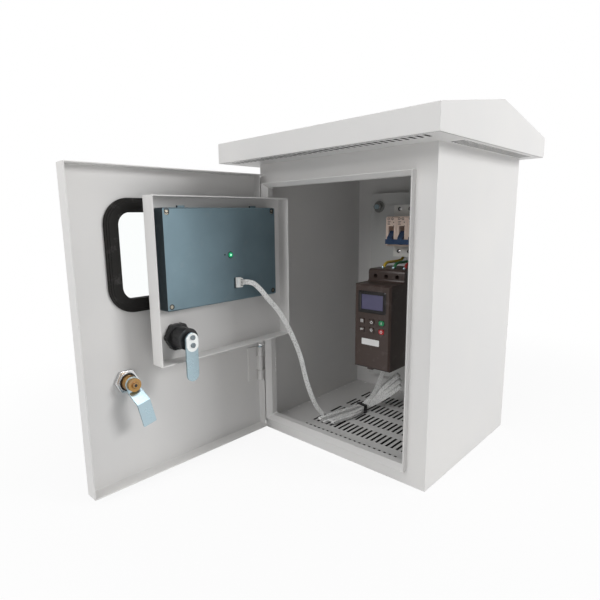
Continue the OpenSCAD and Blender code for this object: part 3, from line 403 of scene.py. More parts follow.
def make_groups():
    """The skins of powder paint, moulded plastic and plated metal."""
    g, at, takes = new_skin("powder_skin")
    cloud = noise(g, at, 9.0, 3.0)
    dust = noise(g, at, 260.0, 4.0, 0.65)
    peel = noise(g, at, 900.0, 2.0)
    tone = mix_colour(g, ramp(g, cloud, 0.3, 0.7), (0.955, 0.96, 0.965, 1), (1.0, 1.0, 0.995, 1))
    tinted = mix_colour(g, 1.0, takes["Colour"], tone, "MULTIPLY")
    specked = patches(g, dust, 0.62, 0.80, 0.10, tinted, (0.42, 0.41, 0.39, 1))
    close_skin(g, specked, vary(g, takes["Roughness"], cloud, 0.22), peel)

    g, at, takes = new_skin("moulded_skin")
    cloud = noise(g, at, 22.0, 3.0)
    pits = add(g, "ShaderNodeTexVoronoi", Vector=at, Scale=1500.0)
    handled = noise(g, at, 70.0, 5.0, 0.7)
    worn = patches(g, handled, 0.55, 0.8, 0.16, takes["Colour"], (0.36, 0.35, 0.34, 1))
    tone = mix_colour(g, ramp(g, cloud, 0.3, 0.7), (0.90, 0.90, 0.90, 1), (1.05, 1.05, 1.05, 1))
    clouded = mix_colour(g, 1.0, worn, tone, "MULTIPLY")
    close_skin(g, clouded, vary(g, takes["Roughness"], handled, 0.10), pits.outputs["Distance"])

    g, at, takes = new_skin("plated_skin")
    streak = noise(g, place(g, (60.0, 60.0, 1400.0)), 1.0, 3.0)
    bloom = noise(g, at, 90.0, 4.0, 0.6)
    dull = patches(g, bloom, 0.45, 0.75, 0.15, takes["Colour"], (0.42, 0.43, 0.45, 1))
    uneven = math_node(g, "ADD", math_node(g, "MULTIPLY", bloom, 0.22), math_node(g, "MULTIPLY", streak, 0.12))
    close_skin(g, dull, math_node(g, "ADD", takes["Roughness"], uneven), streak)


# Materials

def new_material(name):
    """A new material and its node tree."""
    material = bpy.data.materials.new(name)
    material.use_nodes = True
    return material, material.node_tree


def shade(material, **values):
    """Gives a material's shader its values."""
    tree = material.node_tree
    give(tree, tree.nodes["Principled BSDF"], **values)
    return material


def finish_material(name, skin_name, colour, roughness, bump, distance, metallic=0.0, coat=0.0):
    """A material whose colour, roughness and relief come from one shared group."""
    material, tree = new_material(name)
    skin = add(tree, "ShaderNodeGroup", node_tree=bpy.data.node_groups[skin_name])
    skin = give(tree, skin, Colour=(*colour, 1.0), Roughness=roughness).outputs
    relief = add(tree, "ShaderNodeBump", Strength=bump, Distance=distance, Height=skin["Height"])
    return shade(material, Base_Color=skin["Colour"], Roughness=skin["Roughness"],
                 Normal=relief.outputs["Normal"], Metallic=metallic, Coat_Weight=coat)


def painted(name, colour, roughness):
    """Powder paint."""
    return finish_material(name, "powder_skin", colour, roughness, 0.10, 0.0002)


def moulded(name, colour, roughness=0.5, bump=0.10, coat=0.0):
    """Moulded plastic or rubber."""
    return finish_material(name, "moulded_skin", colour, roughness, bump, 0.0001, coat=coat)


def plated(name, colour, roughness=0.22, bump=0.06):
    """Plated or bare metal."""
    return finish_material(name, "plated_skin", colour, roughness, bump, 0.0001, metallic=1.0)


def tint_finish(material, tone):
    """Feeds a finish's group with a colour that changes over the surface."""
    tree = material.node_tree
    skin = next(n for n in tree.nodes if n.bl_idname == "ShaderNodeGroup")
    tree.links.new(tone, skin.inputs["Colour"])


def lit_material(name, colour, glow):
    """A moulded lens that glows."""
    material = moulded(name, colour, 0.25, 0.02, 0.5)
    return shade(material, Emission_Color=(*colour, 1.0), Emission_Strength=glow)


def scaled(colour, factor):
    """A colour made lighter or darker."""
    return [min(1.0, c * factor) for c in colour]


def display_material(name, colour, glow):
    """Dark display glass with a faint smear in its tone and gloss, and an even glow."""
    material, tree = new_material(name)
    smear = noise(tree, place(tree), 60.0, 4.0, 0.6)
    dark, pale = ((*scaled(colour, factor), 1.0) for factor in (0.9, 1.1))
    tone = mix_colour(tree, ramp(tree, smear, 0.3, 0.7), dark, pale)
    return shade(material, Base_Color=tone, Roughness=ramp(tree, smear, -2.2, 5.0), Coat_Weight=0.6,
                 Emission_Color=(*colour, 1.0), Emission_Strength=glow)


def pane_material(name):
    """Clear window sheet with a few faint smears."""
    material, tree = new_material(name)
    smear = noise(tree, place(tree), 35.0, 4.0, 0.6)
    return shade(material, Base_Color=(0.97, 0.99, 0.985, 1.0), Roughness=ramp(tree, smear, 0.62, 3.4),
                 Metallic=0.0, Transmission_Weight=1.0, IOR=1.05)


# Meshes

def dress(node, material, edge=0.0, segments=2, sheet=False):
    """Gives a CAD node its finish, with its sharp edges softened by modifiers.

    The flats of a sheet are joined first, so that no line crosses them.
    """
    obj = NODES[node]
    obj.data.materials.clear()
    obj.data.materials.append(material)
    if edge <= 0:
        return
    obj.modifiers.new("close_seams", "WELD").merge_threshold = SEAM_GAP
    if sheet:
        flats = obj.modifiers.new("whole_flats", "DECIMATE")
        flats.decimate_type = "DISSOLVE"
        flats.angle_limit = FLAT
    soften = obj.modifiers.new("soft_edges", "BEVEL")
    soften.width = edge
    soften.segments = segments
    soften.limit_method = "ANGLE"
    soften.angle_limit = SHARP
    soften.harden_normals = True


def dress_all(material, edge, *nodes):
    """Gives several CAD nodes one finish."""
    for node in nodes:
        dress(node, material, edge)


def new_object(name, build, material, slot):
    """A smooth object from a bmesh builder, with its finish and its slot in the record."""
    mesh = bpy.data.meshes.new(name)
    bm = bmesh.new()
    build(bm)
    bmesh.ops.recalc_face_normals(bm, faces=bm.faces)
    bm.to_mesh(mesh)
    bm.free()
    mesh.materials.append(material)
    mesh.shade_smooth()
    obj = bpy.data.objects.new(name, mesh)
    bpy.context.scene.collection.objects.link(obj)
    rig.slot(obj, slot)
    return obj


def piece(name, build, material, body, slot):
    """A new object with sharp edges that rides on a body."""
    obj = new_object(name, build, material, slot)
    obj.data.set_sharp_from_angle(angle=SHARP)
    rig.ride(obj, body)
    return obj


def bridge(bm, rings):
    """Joins each ring of points to the next. A ring of one point is a tip."""
    for a, b in zip(rings, rings[1:]):
        count = max(len(a), len(b))
        for k in range(count):
            n = (k + 1) % count
            corners = dict.fromkeys((a[k % len(a)], a[n % len(a)], b[n % len(b)], b[k % len(b)]))
            if len(corners) > 2:
                bm.faces.new(list(corners))


def revolve(bm, centre, axis, profile, steps):
    """Turns a profile of (radius, height along the axis) round an axis."""
    axis = Vector(axis).normalized()
    side = axis.orthogonal().normalized()
    across = axis.cross(side)
    turns = [2 * math.pi * k / steps for k in range(steps)]
    rings = []
    for radius, height in profile:
        level = Vector(centre) + axis * height
        if radius == 0.0:
            rings.append([bm.verts.new(level)])
            continue
        rings.append([bm.verts.new(level + (side * math.cos(t) + across * math.sin(t)) * radius) for t in turns])
    bridge(bm, rings)


def slab(bm, centre, x_axis, y_axis, outline, low, high, rim):
    """Raises a flat outline from low to high along the normal of two axes, with a crown narrower by its rim."""
    ex = Vector(x_axis).normalized()
    ey = Vector(y_axis).normalized()
    ez = ex.cross(ey)
    cx = sum(p[0] for p in outline) / len(outline)
    cy = sum(p[1] for p in outline) / len(outline)
    reach = max(math.hypot(p[0] - cx, p[1] - cy) for p in outline)
    rings = []
    for height, shrink in ((low, 1.0), (high - rim, 1.0), (high, 1.0 - rim / reach)):
        crown = [(cx + (x - cx) * shrink, cy + (y - cy) * shrink) for x, y in outline]
        rings.append([bm.verts.new(Vector(centre) + ex * x + ey * y + ez * height) for x, y in crown])
    bridge(bm, rings)
    bm.faces.new(rings[-1])
    bm.faces.new(list(reversed(rings[0])))


def on_circle(radius, turn):
    """A point on a circle round the origin."""
    return radius * math.cos(turn), radius * math.sin(turn)


def round_rect(width, height, radius, steps=5):
    """Outline of a rectangle with round corners."""
    points = []
    for cx, cy, turn in ((1, 1, 0), (-1, 1, 90), (-1, -1, 180), (1, -1, 270)):
        for k in range(steps + 1):
            x, y = on_circle(radius, math.radians(turn + 90 * k / steps))
            points.append((cx * (width / 2 - radius) + x, cy * (height / 2 - radius) + y))
    return points


def bar_outline(x0, z0, x1, z1, width):
    """Outline of a straight printed stroke."""
    along = Vector((x1 - x0, z1 - z0)).normalized()
    side = Vector((-along.y, along.x)) * width / 2
    a, b = Vector((x0, z0)), Vector((x1, z1))
    return [a - side, b - side, b + side, a + side]


def screw_head(bm, centre, axis, radius, height):
    """A domed screw head with a dished top and a raised cross in it."""
    axis = Vector(axis).normalized()
    revolve(bm, centre, axis, [(radius, 0.0), (radius, height * 0.45), (radius * 0.82, height * 0.85),
                               (radius * 0.45, height), (radius * 0.42, height * 0.55), (0.0, height * 0.5)], 24)
    side = axis.orthogonal().normalized()
    other = axis.cross(side)
    bar = round_rect(radius * 1.15, radius * 0.22, radius * 0.05, 2)
    for a, b in ((side, other), (other, -side)):
        slab(bm, Vector(centre) + axis * height * 0.5, a, b, bar, 0.0, height * 0.22, radius * 0.02)


# Flat cable

def knots_along(points):
    """A place for each point of a route, spaced so that the curve through them doesn't overshoot."""
    knots = [0.0]
    for a, b in zip(points, points[1:]):
        knots.append(knots[-1] + math.sqrt((b - a).length))
    return knots


def smooth_path(points, knots, steps):
    """Points on a smooth curve through the given ones, each at its knot."""
    last = len(points) - 1
    rates = [(b - a) / (u - t) for a, b, t, u in zip(points, points[1:], knots, knots[1:])]
    slopes = [rates[0]]
    for i in range(1, last):
        back, ahead = knots[i] - knots[i - 1], knots[i + 1] - knots[i]
        slopes.append((rates[i - 1] * ahead + rates[i] * back) / (back + ahead))
    slopes.append(rates[-1])
    line = []
    for i in range(last):
        span = knots[i + 1] - knots[i]
        for k in range(steps):
            t = k / steps
            line.append(points[i] * (2 * t ** 3 - 3 * t ** 2 + 1) + slopes[i] * span * (t ** 3 - 2 * t ** 2 + t)
                        + points[i + 1] * (3 * t ** 2 - 2 * t ** 3) + slopes[i + 1] * span * (t ** 3 - t ** 2))
    line.append(points[last])
    return line


def heading(line, i):
    """From the point before to the point after one on a line."""
    return line[min(i + 1, len(line) - 1)] - line[max(i - 1, 0)]


def path_length(line):
    """Length of a line of points."""
    return sum((b - a).length for a, b in zip(line, line[1:]))


STRANDS = 6
STRAND_ARCH = ((0.05, 0.34), (0.26, 0.90), (0.5, 1.0), (0.74, 0.90), (0.95, 0.34))


def ribbon_mesh(bm, line, wides, width, thickness):
    """Sweeps a flat ribbed section along a line. wides gives the ribbon's wide direction at each point."""
    section = []
    for face in (1, -1):
        for k in range(STRANDS):
            for u, h in STRAND_ARCH:
                x = (k + u) * (width / STRANDS) - width / 2
                section.append((face * x, face * h * thickness / 2))
    rings = []
    for i, point in enumerate(line):
        t = heading(line, i).normalized()
        w = (wides[i] - t * wides[i].dot(t)).normalized()
        n = t.cross(w)
        rings.append([bm.verts.new(point + w * x + n * y) for x, y in section])
    bridge(bm, rings)
    bm.faces.new(rings[0])
    bm.faces.new(list(reversed(rings[-1])))


# Cable routes, in millimetres: the hanging run repeats the solids' route

RUN_ROUTE = [(-93.5, -201, 241.5), (-93, -195.5, 241.5), (-89, -186, 239), (-85.5, -177, 230.5),
             (-82, -167, 217.5), (-78, -150, 197.5), (-74.5, -134, 171), (-70.5, -115, 129),
             (-67.5, -101.5, 80), (-64, -86, 42), (-60, -72, 22.5)]
RUN_FACING = Vector((-0.69, 0.62, -0.30))
LEAD_ROUTE = [(1, 2, 103.7), (0, 2, 95), (-5, 4, 84), (-14, 8, 62), (-26, 11, 40)]
LEAD_WIDE = Vector((0.8, 0.6, 0.0))
HANK_START = Vector((-38, 4))
HANK_END = Vector((-52, -72))
HANK_WIDE = Vector((0.983, -0.181, 0.0))
LOOP_START = Vector((-36, 13, 20))
LOOP_END = Vector((8, 31, 66))
LOOP_TURNED = Vector((0.6, -0.8, 0.0))
TIE_AT, WAIST, FOLD_LEAD, FOLD_END = 4, 28, 12, 5  # along the hank, the last two back from a fold's reach


def hank_point(along, across, height):
    """A point on the hank: along from the tie towards the folded end, across, and height."""
    run = (HANK_END - HANK_START).normalized()
    side = Vector((-run.y, run.x))
    flat = HANK_START + run * along + side * across
    return Vector((flat.x, flat.y, height))


def loop_axes():
    """The fan's own axes: along it, across it and towards its open face."""
    along = (LOOP_END - LOOP_START).normalized()
    face = along.cross(LOOP_TURNED).cross(along).normalized()
    return along, face.cross(along), face


def loop_point(along, across, out):
    """A point in the fan of loops."""
    a, c, f = loop_axes()
    return LOOP_START + a * along + c * across + f * out


def folded_route():
    """Route of the folded ribbon from the starter to the floor, with its wide direction at each point."""
    fan = -loop_axes()[1]
    route = [(Vector(p), LEAD_WIDE) for p in LEAD_ROUTE]
    route.append((hank_point(-6, -1.5, 25.0), HANK_WIDE))

    def run_to(along_points, across, height):
        route.extend([(hank_point(along, across, height), HANK_WIDE) for along in along_points])

    def fold(reach, across, first, last):
        half = (last - first) / 2
        run_to((WAIST, reach - FOLD_LEAD, reach - FOLD_END), across, first)
        for turn in (45, 90, 135):
            t = math.radians(turn)
            run_to((reach - FOLD_END + abs(half) * math.sin(t),), across, first + half - half * math.cos(t))
        run_to((reach - FOLD_END, reach - FOLD_LEAD, WAIST), across, last)

    def loop(reach, across, out, start, end):
        run_to((TIE_AT,), *start)
        legs = [(TIE_AT, 0.3, 0.55), (reach * 0.5, 0.85, 1.0), (reach - 8, 1.0, 1.0), (reach, 1.0, 0.5)]
        for side, leg in ((out, legs), (-out, reversed(legs))):
            for along, spread, lift in leg:
                route.append((loop_point(along, across * spread, side * lift), fan))
        run_to((TIE_AT,), *end)

    left, right, top, upper, lower, base = -3.5, 3.5, 22.3, 19.9, 17.5, 15.1
    run_to((TIE_AT,), left, top)
    fold(94, -4.5, top, upper)
    loop(74, 8.5, 4.2, (left, upper), (left, lower))
    fold(88, -1.5, lower, base)
    loop(70, 0.5, 4.2, (left, base), (right, base))
    fold(80, 9.0, base, lower)
    loop(64, -7.0, 4.0, (right, lower), (right, upper))
    run_to((WAIST, 54, 80), right + 1.0, upper - 1.0)
    return route


# Operators, one for each group of pieces

class CABINET_OT_sheet(bpy.types.Operator):
    """Paint the folded sheet, the main hinges and the plate, and add the welds and the lips behind the hinges"""

    bl_idname = "cabinet.sheet"
    bl_label = "Painted sheet"

    def execute(self, context):
        looks = context.scene.cabinet_paint
        paint = painted("cabinet_paint", looks.colour, looks.roughness)
        plate = painted("plate_paint", looks.plate, looks.roughness + 0.06)
        dress("body_shell", paint)
        for node in ("front_frame", "roof_cap", "door_panel", "inner_door_panel"):
            dress(node, paint, looks.edge, sheet=True)
        dress_all(paint, 0.0003, "inner_lock_keeper", *hinge_leaves("door"))
        dress("mounting_plate", plate, 0.0003)

        # The slots' walls are painted dark, as painted shade inside the slots
        slotted = painted("slotted_paint", looks.colour, looks.roughness)
        tree = slotted.node_tree
        facing = tree.nodes.new("ShaderNodeNewGeometry").outputs["True Normal"]
        upright = math_node(tree, "ABSOLUTE", xyz(tree, facing)["Z"])
        slot_wall_shade = math_node(tree, "LESS_THAN", upright, 0.5)
        tint_finish(slotted, mix_colour(tree, slot_wall_shade, (*looks.colour, 1.0), (0.035, 0.034, 0.032, 1.0)))
        dress_all(slotted, 0.0, "floor_plate", "soffit_plate")

        low, high = box_corners("floor_plate")
        weld = painted("weld_paint", scaled(looks.colour, 1.25), looks.roughness - 0.1)

        def spots(bm):
            inset = 0.0045
            dome = [(0.0021, 0.0), (0.0018, 0.0004), (0.0011, 0.0007), (0.0, 0.0008)]
            for k in range(9):
                y = low.y + (k + 0.7) * (high.y - low.y) / 9.4
                for x in (low.x + inset, high.x - inset):
                    revolve(bm, (x, y, high.z), UP, dome, 18)
            for k in range(7):
                x = low.x + (k + 0.6) * (high.x - low.x) / 7.2
                revolve(bm, (x, high.y - inset, high.z), UP, dome, 18)

        piece("floor_spot_welds", spots, weld, "cabinet", "cabinet_paint")

        frame_low, frame_high = box_corners("front_frame")
        inner_edge = frame_high.y

        def bead(bm, at, along, radius):
            revolve(bm, at, along, [(0.0, -radius), (radius * 0.6, -radius * 0.8), (radius, -radius * 0.1),
                                    (radius * 0.75, radius * 0.65), (0.0, radius)], 14)

        def beads(bm):
            left, right, sill, head = -0.1203, 0.1043, 0.0237, 0.3678  # corners of the frame's opening
            for x, z in ((left, sill), (right, sill), (left, head), (right, head)):
                for k in range(4):
                    bead(bm, (x, inner_edge - 0.0012 - 0.0024 * k, z), BACK, 0.0022 - 0.0003 * k)
            for k in range(9):
                lump = 0.0013 + 0.0004 * math.sin(2.3 * k)
                bead(bm, (left - 0.0004, inner_edge - 0.0008, 0.092 + 0.0034 * k), UP, lump)

        piece("frame_corner_welds", beads, weld, "cabinet", "cabinet_paint")

        def hinge_lips(bm):
            lip = (0.0, 0.0008, 0.0001)
            for leaf in hinge_leaves("door")[:2]:
                leaf_low, leaf_high = box_corners(leaf)
                at = (leaf_low.x + 0.0022, leaf_high.y - 0.0042, (leaf_low.z + leaf_high.z) / 2)
                slab(bm, at, *SIDE_PLANE, round_rect(0.0048, 0.0540, 0.0006, 2), *lip)
            door_low, door_high = box_corners("door_panel")
            tall = door_high.z - door_low.z - 0.006  # clear of the door's flanges when it is shut
            at = (frame_low.x + 0.0002, leaf_high.y - 0.0017, (door_low.z + door_high.z) / 2)
            slab(bm, at, *SIDE_PLANE, round_rect(0.0036, tall, 0.0005, 2), *lip)

        piece("frame_hinge_lips", hinge_lips, paint, "cabinet", "cabinet_paint")
        return {"FINISHED"}


class CABINET_OT_window(bpy.types.Operator):
    """Finish the rubber trim and the clear pane"""

    bl_idname = "cabinet.window"
    bl_label = "Window"

    def execute(self, context):
        rubber = moulded("trim_rubber", context.scene.cabinet_fittings.rubber, 0.70, 0.14)
        dress("window_trim", shade(rubber, Specular_IOR_Level=0.18), 0.0006, 3)
        dress("window_pane", pane_material("window_clear"))
        return {"FINISHED"}


class CABINET_OT_locks(bpy.types.Operator):
    """Finish the locks, hinge pins and inner hinges, and add the main lock's screw drive, whose socket is painted
    shade, and a black ring of painted shade at the thread's end
    """

    bl_idname = "cabinet.locks"
    bl_label = "Locks and hinges"

    def execute(self, context):
        looks = context.scene.cabinet_fittings
        zinc = plated("zinc_plate", looks.zinc, 0.13)
        pale_zinc = plated("clamp_zinc", (0.86, 0.88, 0.87), 0.38)
        chrome = plated("lock_chrome", looks.chrome, 0.10, 0.03)
        brass = plated("lock_brass", looks.brass, 0.20)
        black = moulded("black_moulding", (0.016, 0.016, 0.017), 0.38, 0.06)
        dress_all(zinc, 0.0004, "door_lock_cam", "inner_lock_blade")
        dress_all(zinc, 0.0002, "inner_lock_spindle", "inner_lock_screws", "door_hinge_pins", "inner_hinge_pins",
                  *hinge_leaves("inner"))
        dress("inner_lock_clamp", pale_zinc, 0.0004)
        dress_all(chrome, 0.0005, "door_lock_housing", "door_lock_nut")
        dress_all(brass, 0.0006, "door_lock_core", "door_lock_screw")
        dress("inner_lock_body", black, 0.0008, 3)
        # These screws are darker than the rest and keep both bevels, the narrow one and a wider one
        dress("inner_lock_screws", plated("screw_dark", (0.22, 0.26, 0.28), 0.2), 0.0003)

        mid = middle("door_lock_screw")
        face_x = box_corners("door_lock_screw")[1].x

        # The black six-sided face is painted shade in the screw's socket; the knurls round it are black as well
        def drive(bm):
            socket_r, knurl_r, knurls = 0.0022, 0.0037, 28
            socket_shade_hexagon = [on_circle(socket_r, k * math.pi / 3) for k in range(6)]
            knurl = round_rect(0.0006, 0.0005, 0.0001, 1)
            slab(bm, (face_x, mid.y, mid.z), *SIDE_PLANE, socket_shade_hexagon, -0.0002, 0.00006, 0.00002)
            for k in range(knurls):
                t = 2 * math.pi * k / knurls
                c, s = math.cos(t), math.sin(t)
                at = Vector((face_x - 0.0003, mid.y + knurl_r * c, mid.z + knurl_r * s))
                slab(bm, at, (0, c, s), (0, -s, c), knurl, -0.0002, 0.0003, 0.00005)

        piece("lock_screw_drive", drive, black, "door_lock", "black_plastic")

        turning = next(j for j in frame["joints"] if j["name"] == "door_lock_turn")
        out = -Vector(turning["axis"])
        depth, inner_r, crest_r, outer_r = 0.0075, 0.0093, 0.0100, 0.0109
        barrel_end = Vector(turning["pos_m"]) - out * depth

        # A black ring on the barrel's end between the nut and the core: painted shade
        def thread_shade_ring(bm):
            profile = [(inner_r, -0.0004), (inner_r, 0.0002), (crest_r, 0.0003),
                       (outer_r, 0.0002), (outer_r, -0.0004), (inner_r, -0.0004)]
            revolve(bm, barrel_end, out, profile, 40)

        piece("lock_thread_shade_ring", thread_shade_ring, black, "main_door", "black_plastic")
        return {"FINISHED"}


class CABINET_OT_operator_panel(bpy.types.Operator):
    """Finish the operator panel on the inner door, and add black rings of painted shade round its screws, its lamp
    collar, a glowing centre for the lamp with a painted glint, and its plug with slots of painted shade
    """

    bl_idname = "cabinet.operator_panel"
    bl_label = "Operator panel"

    def execute(self, context):
        looks = context.scene.cabinet_gear
        slate_with_painted_sheen = moulded("panel_slate", looks.slate_with_painted_sheen, 0.50, 0.10)
        # The bluish specular tint is a painted reflection of cool light
        shade(slate_with_painted_sheen, Metallic=0.6, Specular_Tint=(0.55, 0.86, 1.0, 1.0), Specular_IOR_Level=1.0)
        # The cover faces right at rest. Its bluish tone is a painted sheen of cool light, lighter than the plain dark
        # grey of the case's sides
        tree = slate_with_painted_sheen.node_tree
        facing = tree.nodes.new("ShaderNodeTexCoord").outputs["Normal"]
        cover = math_node(tree, "GREATER_THAN", xyz(tree, facing)["X"], 0.5)
        tint_finish(slate_with_painted_sheen, mix_colour(tree, cover, (0.060, 0.068, 0.074, 1.0), (*looks.slate_with_painted_sheen, 1.0)))
        dress("hmi_housing", slate_with_painted_sheen, 0.0007, 3)
        dress("hmi_bezel", moulded("bezel_slate", scaled(looks.slate_with_painted_sheen, 0.5), 0.4, 0.08), 0.0006)
        dress("hmi_screen", display_material("panel_display", (0.03, 0.04, 0.07), 0.0))
        dress("hmi_screws", plated("screw_bronze", (0.40, 0.37, 0.30), 0.22), 0.0004)

        black = bpy.data.materials["black_moulding"]
        low, high = box_corners("hmi_housing")

        # Black rings round the panel's screws: painted shade in the recesses round them
        def well_shade_rings(bm):
            inset, outer_r, rim_r, hole_r = 0.0055, 0.0034, 0.0028, 0.0021
            profile = [(outer_r, -0.0002), (outer_r, 0.00015), (rim_r, 0.0003),
                       (hole_r, 0.00015), (hole_r, -0.0002), (outer_r, -0.0002)]
            for y in (low.y + inset, high.y - inset):
                for z in (low.z + inset, high.z - inset - 0.0005):
                    revolve(bm, (high.x, y, z), RIGHT, profile, 28)

        piece("panel_screw_well_shade_rings", well_shade_rings, black, "inner_door", "black_plastic")

        lamp_low, lamp_high = box_corners("hmi_lamp")
        lamp_at = middle("hmi_lamp")
        lamp_r = (lamp_high.z - lamp_low.z) / 2

        def collar(bm):
            revolve(bm, (high.x, lamp_at.y, lamp_at.z), RIGHT,
                    [(lamp_r + 0.0002, -0.0001), (lamp_r + 0.0002, 0.0004), (lamp_r + 0.0006, 0.0006),
                     (lamp_r + 0.0011, 0.0003), (lamp_r + 0.0012, -0.0001), (lamp_r + 0.0002, -0.0001)], 32)

        piece("panel_lamp_collar", collar, black, "inner_door", "black_plastic")
        # A paler cross that glows brighter than the lamp: partly its lit centre, partly a painted glint
        glint_chip = lit_material("lamp_glint_chip", (0.55, 0.95, 0.75), 0.9)

        def crossed_glint_chip(bm):
            at = (lamp_high.x, lamp_at.y, lamp_at.z)
            bar = round_rect(0.0028, 0.0007, 0.0002, 2)
            for turn in (35, 125):
                t = math.radians(turn)
                a = Vector((0, math.cos(t), math.sin(t)))
                slab(bm, at, a, Vector(RIGHT).cross(a), bar, -0.0003, 0.00005, 0.00002)

        piece("panel_lamp_glint_chip", crossed_glint_chip, glint_chip, "inner_door", "lamp_green")
        dress("hmi_lamp", lit_material("lamp_green", looks.lamp, 0.35), 0.0008, 3)

        socket_high = box_corners("hmi_socket")[1]
        plug_at = Vector((high.x, socket_high.y - 0.0029, middle("hmi_socket").z))
        plug_top = 0.0063

        def plug_body(bm):
            slab(bm, plug_at, *SIDE_PLANE, round_rect(0.0078, 0.0134, 0.0008), -0.0002, 0.0022, 0.0003)
            slab(bm, plug_at, *SIDE_PLANE, round_rect(0.0066, 0.0120, 0.0007), 0.0, plug_top, 0.0005)
            relief = plug_at + Vector((0.0047, 0.0033, 0.0))
            slab(bm, relief, UP, RIGHT, round_rect(0.0080, 0.0026, 0.0008), -0.0003, 0.0012, 0.0003)

        plug = piece("panel_plug", plug_body, moulded("socket_white", (0.80, 0.80, 0.78), 0.4, 0.04),
                     "inner_door", "socket_white")
        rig.replaces(plug, "hmi_socket")

        # Five black slots on the plug's face: painted shade in its openings
        def slot_shade(bm):
            count, pitch = 5, 0.0019
            for k in range(count):
                at = plug_at + Vector((plug_top, 0.0010, pitch * (k - count // 2)))
                slab(bm, at, *SIDE_PLANE, round_rect(0.0032, 0.0008, 0.0003, 2), -0.0002, 0.00005, 0.00002)

        piece("panel_plug_slot_shade", slot_shade, black, "inner_door", "black_plastic")
        return {"FINISHED"}


class CABINET_OT_breaker(bpy.types.Operator):
    """Finish the plate's fittings and the breaker, and add its terminal screws and printed marks"""

    bl_idname = "cabinet.breaker"
    bl_label = "Breaker"

    def execute(self, context):
        looks = context.scene.cabinet_gear
        dress_all(bpy.data.materials["zinc_plate"], 0.0002, "plate_standoffs", "din_rail")
        dress("plate_nuts", plated("bolt_dark", (0.32, 0.32, 0.31), 0.30), 0.0006, 3)

        # The nose is cream and the shoulders behind it grey; the terminal recesses deepest in are painted dark, as
        # painted shade
        cream = moulded("breaker_cream", looks.cream, 0.45, 0.05)
        tree = cream.node_tree
        shoulder_y, well_y = 0.0572, 0.0592
        depth = xyz(tree, tree.nodes.new("ShaderNodeNewGeometry").outputs["Position"])["Y"]
        behind = math_node(tree, "GREATER_THAN", depth, shoulder_y)
        well = math_node(tree, "GREATER_THAN", depth, well_y)
        shoulder_and_well_shade = mix_colour(tree, well, (0.74, 0.73, 0.70, 1.0), (0.06, 0.06, 0.06, 1.0))
        tint_finish(cream, mix_colour(tree, behind, (*looks.cream, 1.0), shoulder_and_well_shade))
        ink = moulded("print_ink", (0.05, 0.03, 0.03), 0.6, 0.02)
        dress("breaker_case", cream, 0.0005)
        dress("breaker_toggle", moulded("lever_blue", looks.lever, 0.36, 0.05, 0.2), 0.0005)

        low, high = box_corners("breaker_case")
        pole = (high.x - low.x) / 3
        pole_middles = [low.x + pole * (k + 0.5) for k in range(3)]

        def screws(bm):
            well_floor = low.y + 0.023 + 0.004
            for x in pole_middles:
                for z in (low.z + 0.0085, high.z - 0.006):
                    screw_head(bm, (x, well_floor, z), (0, -1, 0), 0.0024, 0.0022)

        piece("breaker_terminal_screws", screws, bpy.data.materials["lock_chrome"], "cabinet", "zinc")

        def print_marks(bm):
            top = (low.z + high.z) / 2 + 0.0225
            ring_r, ring_drop, ring_line = 0.0015, 0.0036, 0.0008
            circle = [on_circle(ring_r, n * math.pi / 5) for n in range(11)]
            blocks = ((-0.0038, -0.0078, 0.0050, 0.0007), (-0.0043, -0.0098, 0.0040, 0.0007),
                      (-0.0040, -0.0118, 0.0046, 0.0007), (0.0040, -0.0088, 0.0016, 0.0016),
                      (0.0042, -0.0150, 0.0010, 0.0034))

            def stroke(outline):
                slab(bm, (0, low.y - 0.00001, 0), *FRONT_PLANE, outline, -0.00004, 0.00006, 0.00001)

            for x in pole_middles:
                for dx in (-0.0048, 0.0018):
                    ring = [(x + dx + a, top - ring_drop + b) for a, b in circle]
                    for start, end in zip(ring, ring[1:]):
                        stroke(bar_outline(*start, *end, ring_line))
                stroke(bar_outline(x - 0.0032, top - ring_drop, x + 0.0002, top - ring_drop, 0.0006))
                for dx, dz, w, h in blocks:
                    stroke([(x + dx + a, top + dz + b) for a, b in round_rect(w, h, min(w, h) * 0.3, 3)])

        piece("breaker_print", print_marks, ink, "cabinet", "breaker_cream")
        return {"FINISHED"}


# Key symbols as strokes in millimetres: from, to and width

KEY_STROKES = {
    "key_menu": [(-2.2, 1.8, 2.2, 1.8, 0.8), (-2.2, 0, 2.2, 0, 0.8), (-2.2, -1.8, 2.2, -1.8, 0.8),
                 (-1.8, -2, -1.8, 2, 0.7), (1.8, -2, 1.8, 2, 0.7)],
    "key_up": [(-2.2, -1.2, 0, 1.6, 0.9), (0, 1.6, 2.2, -1.2, 0.9), (-1.6, -2, 1.6, -2, 0.7)],
    "key_start": [(0, -1.8, 0, 1.8, 0.9)],
    "key_back": [(-2.4, 0, 2.2, 0, 0.9), (-2.4, 0, -0.8, 1.5, 0.8), (-2.4, 0, -0.8, -1.5, 0.8),
                 (2.2, 0, 2.2, 1.5, 0.8)],
    "key_down": [(-2.2, 1.2, 0, -1.6, 0.9), (0, -1.6, 2.2, 1.2, 0.9), (-1.6, 2, 1.6, 2, 0.7)],
    "key_stop": [(*on_circle(1.6, t), *on_circle(1.6, t + 0.8), 0.8)
                 for t in (k * math.pi / 4 for k in range(8))],
}
KEY_SLOTS = {"key_start": "key_green", "key_stop": "key_red"}


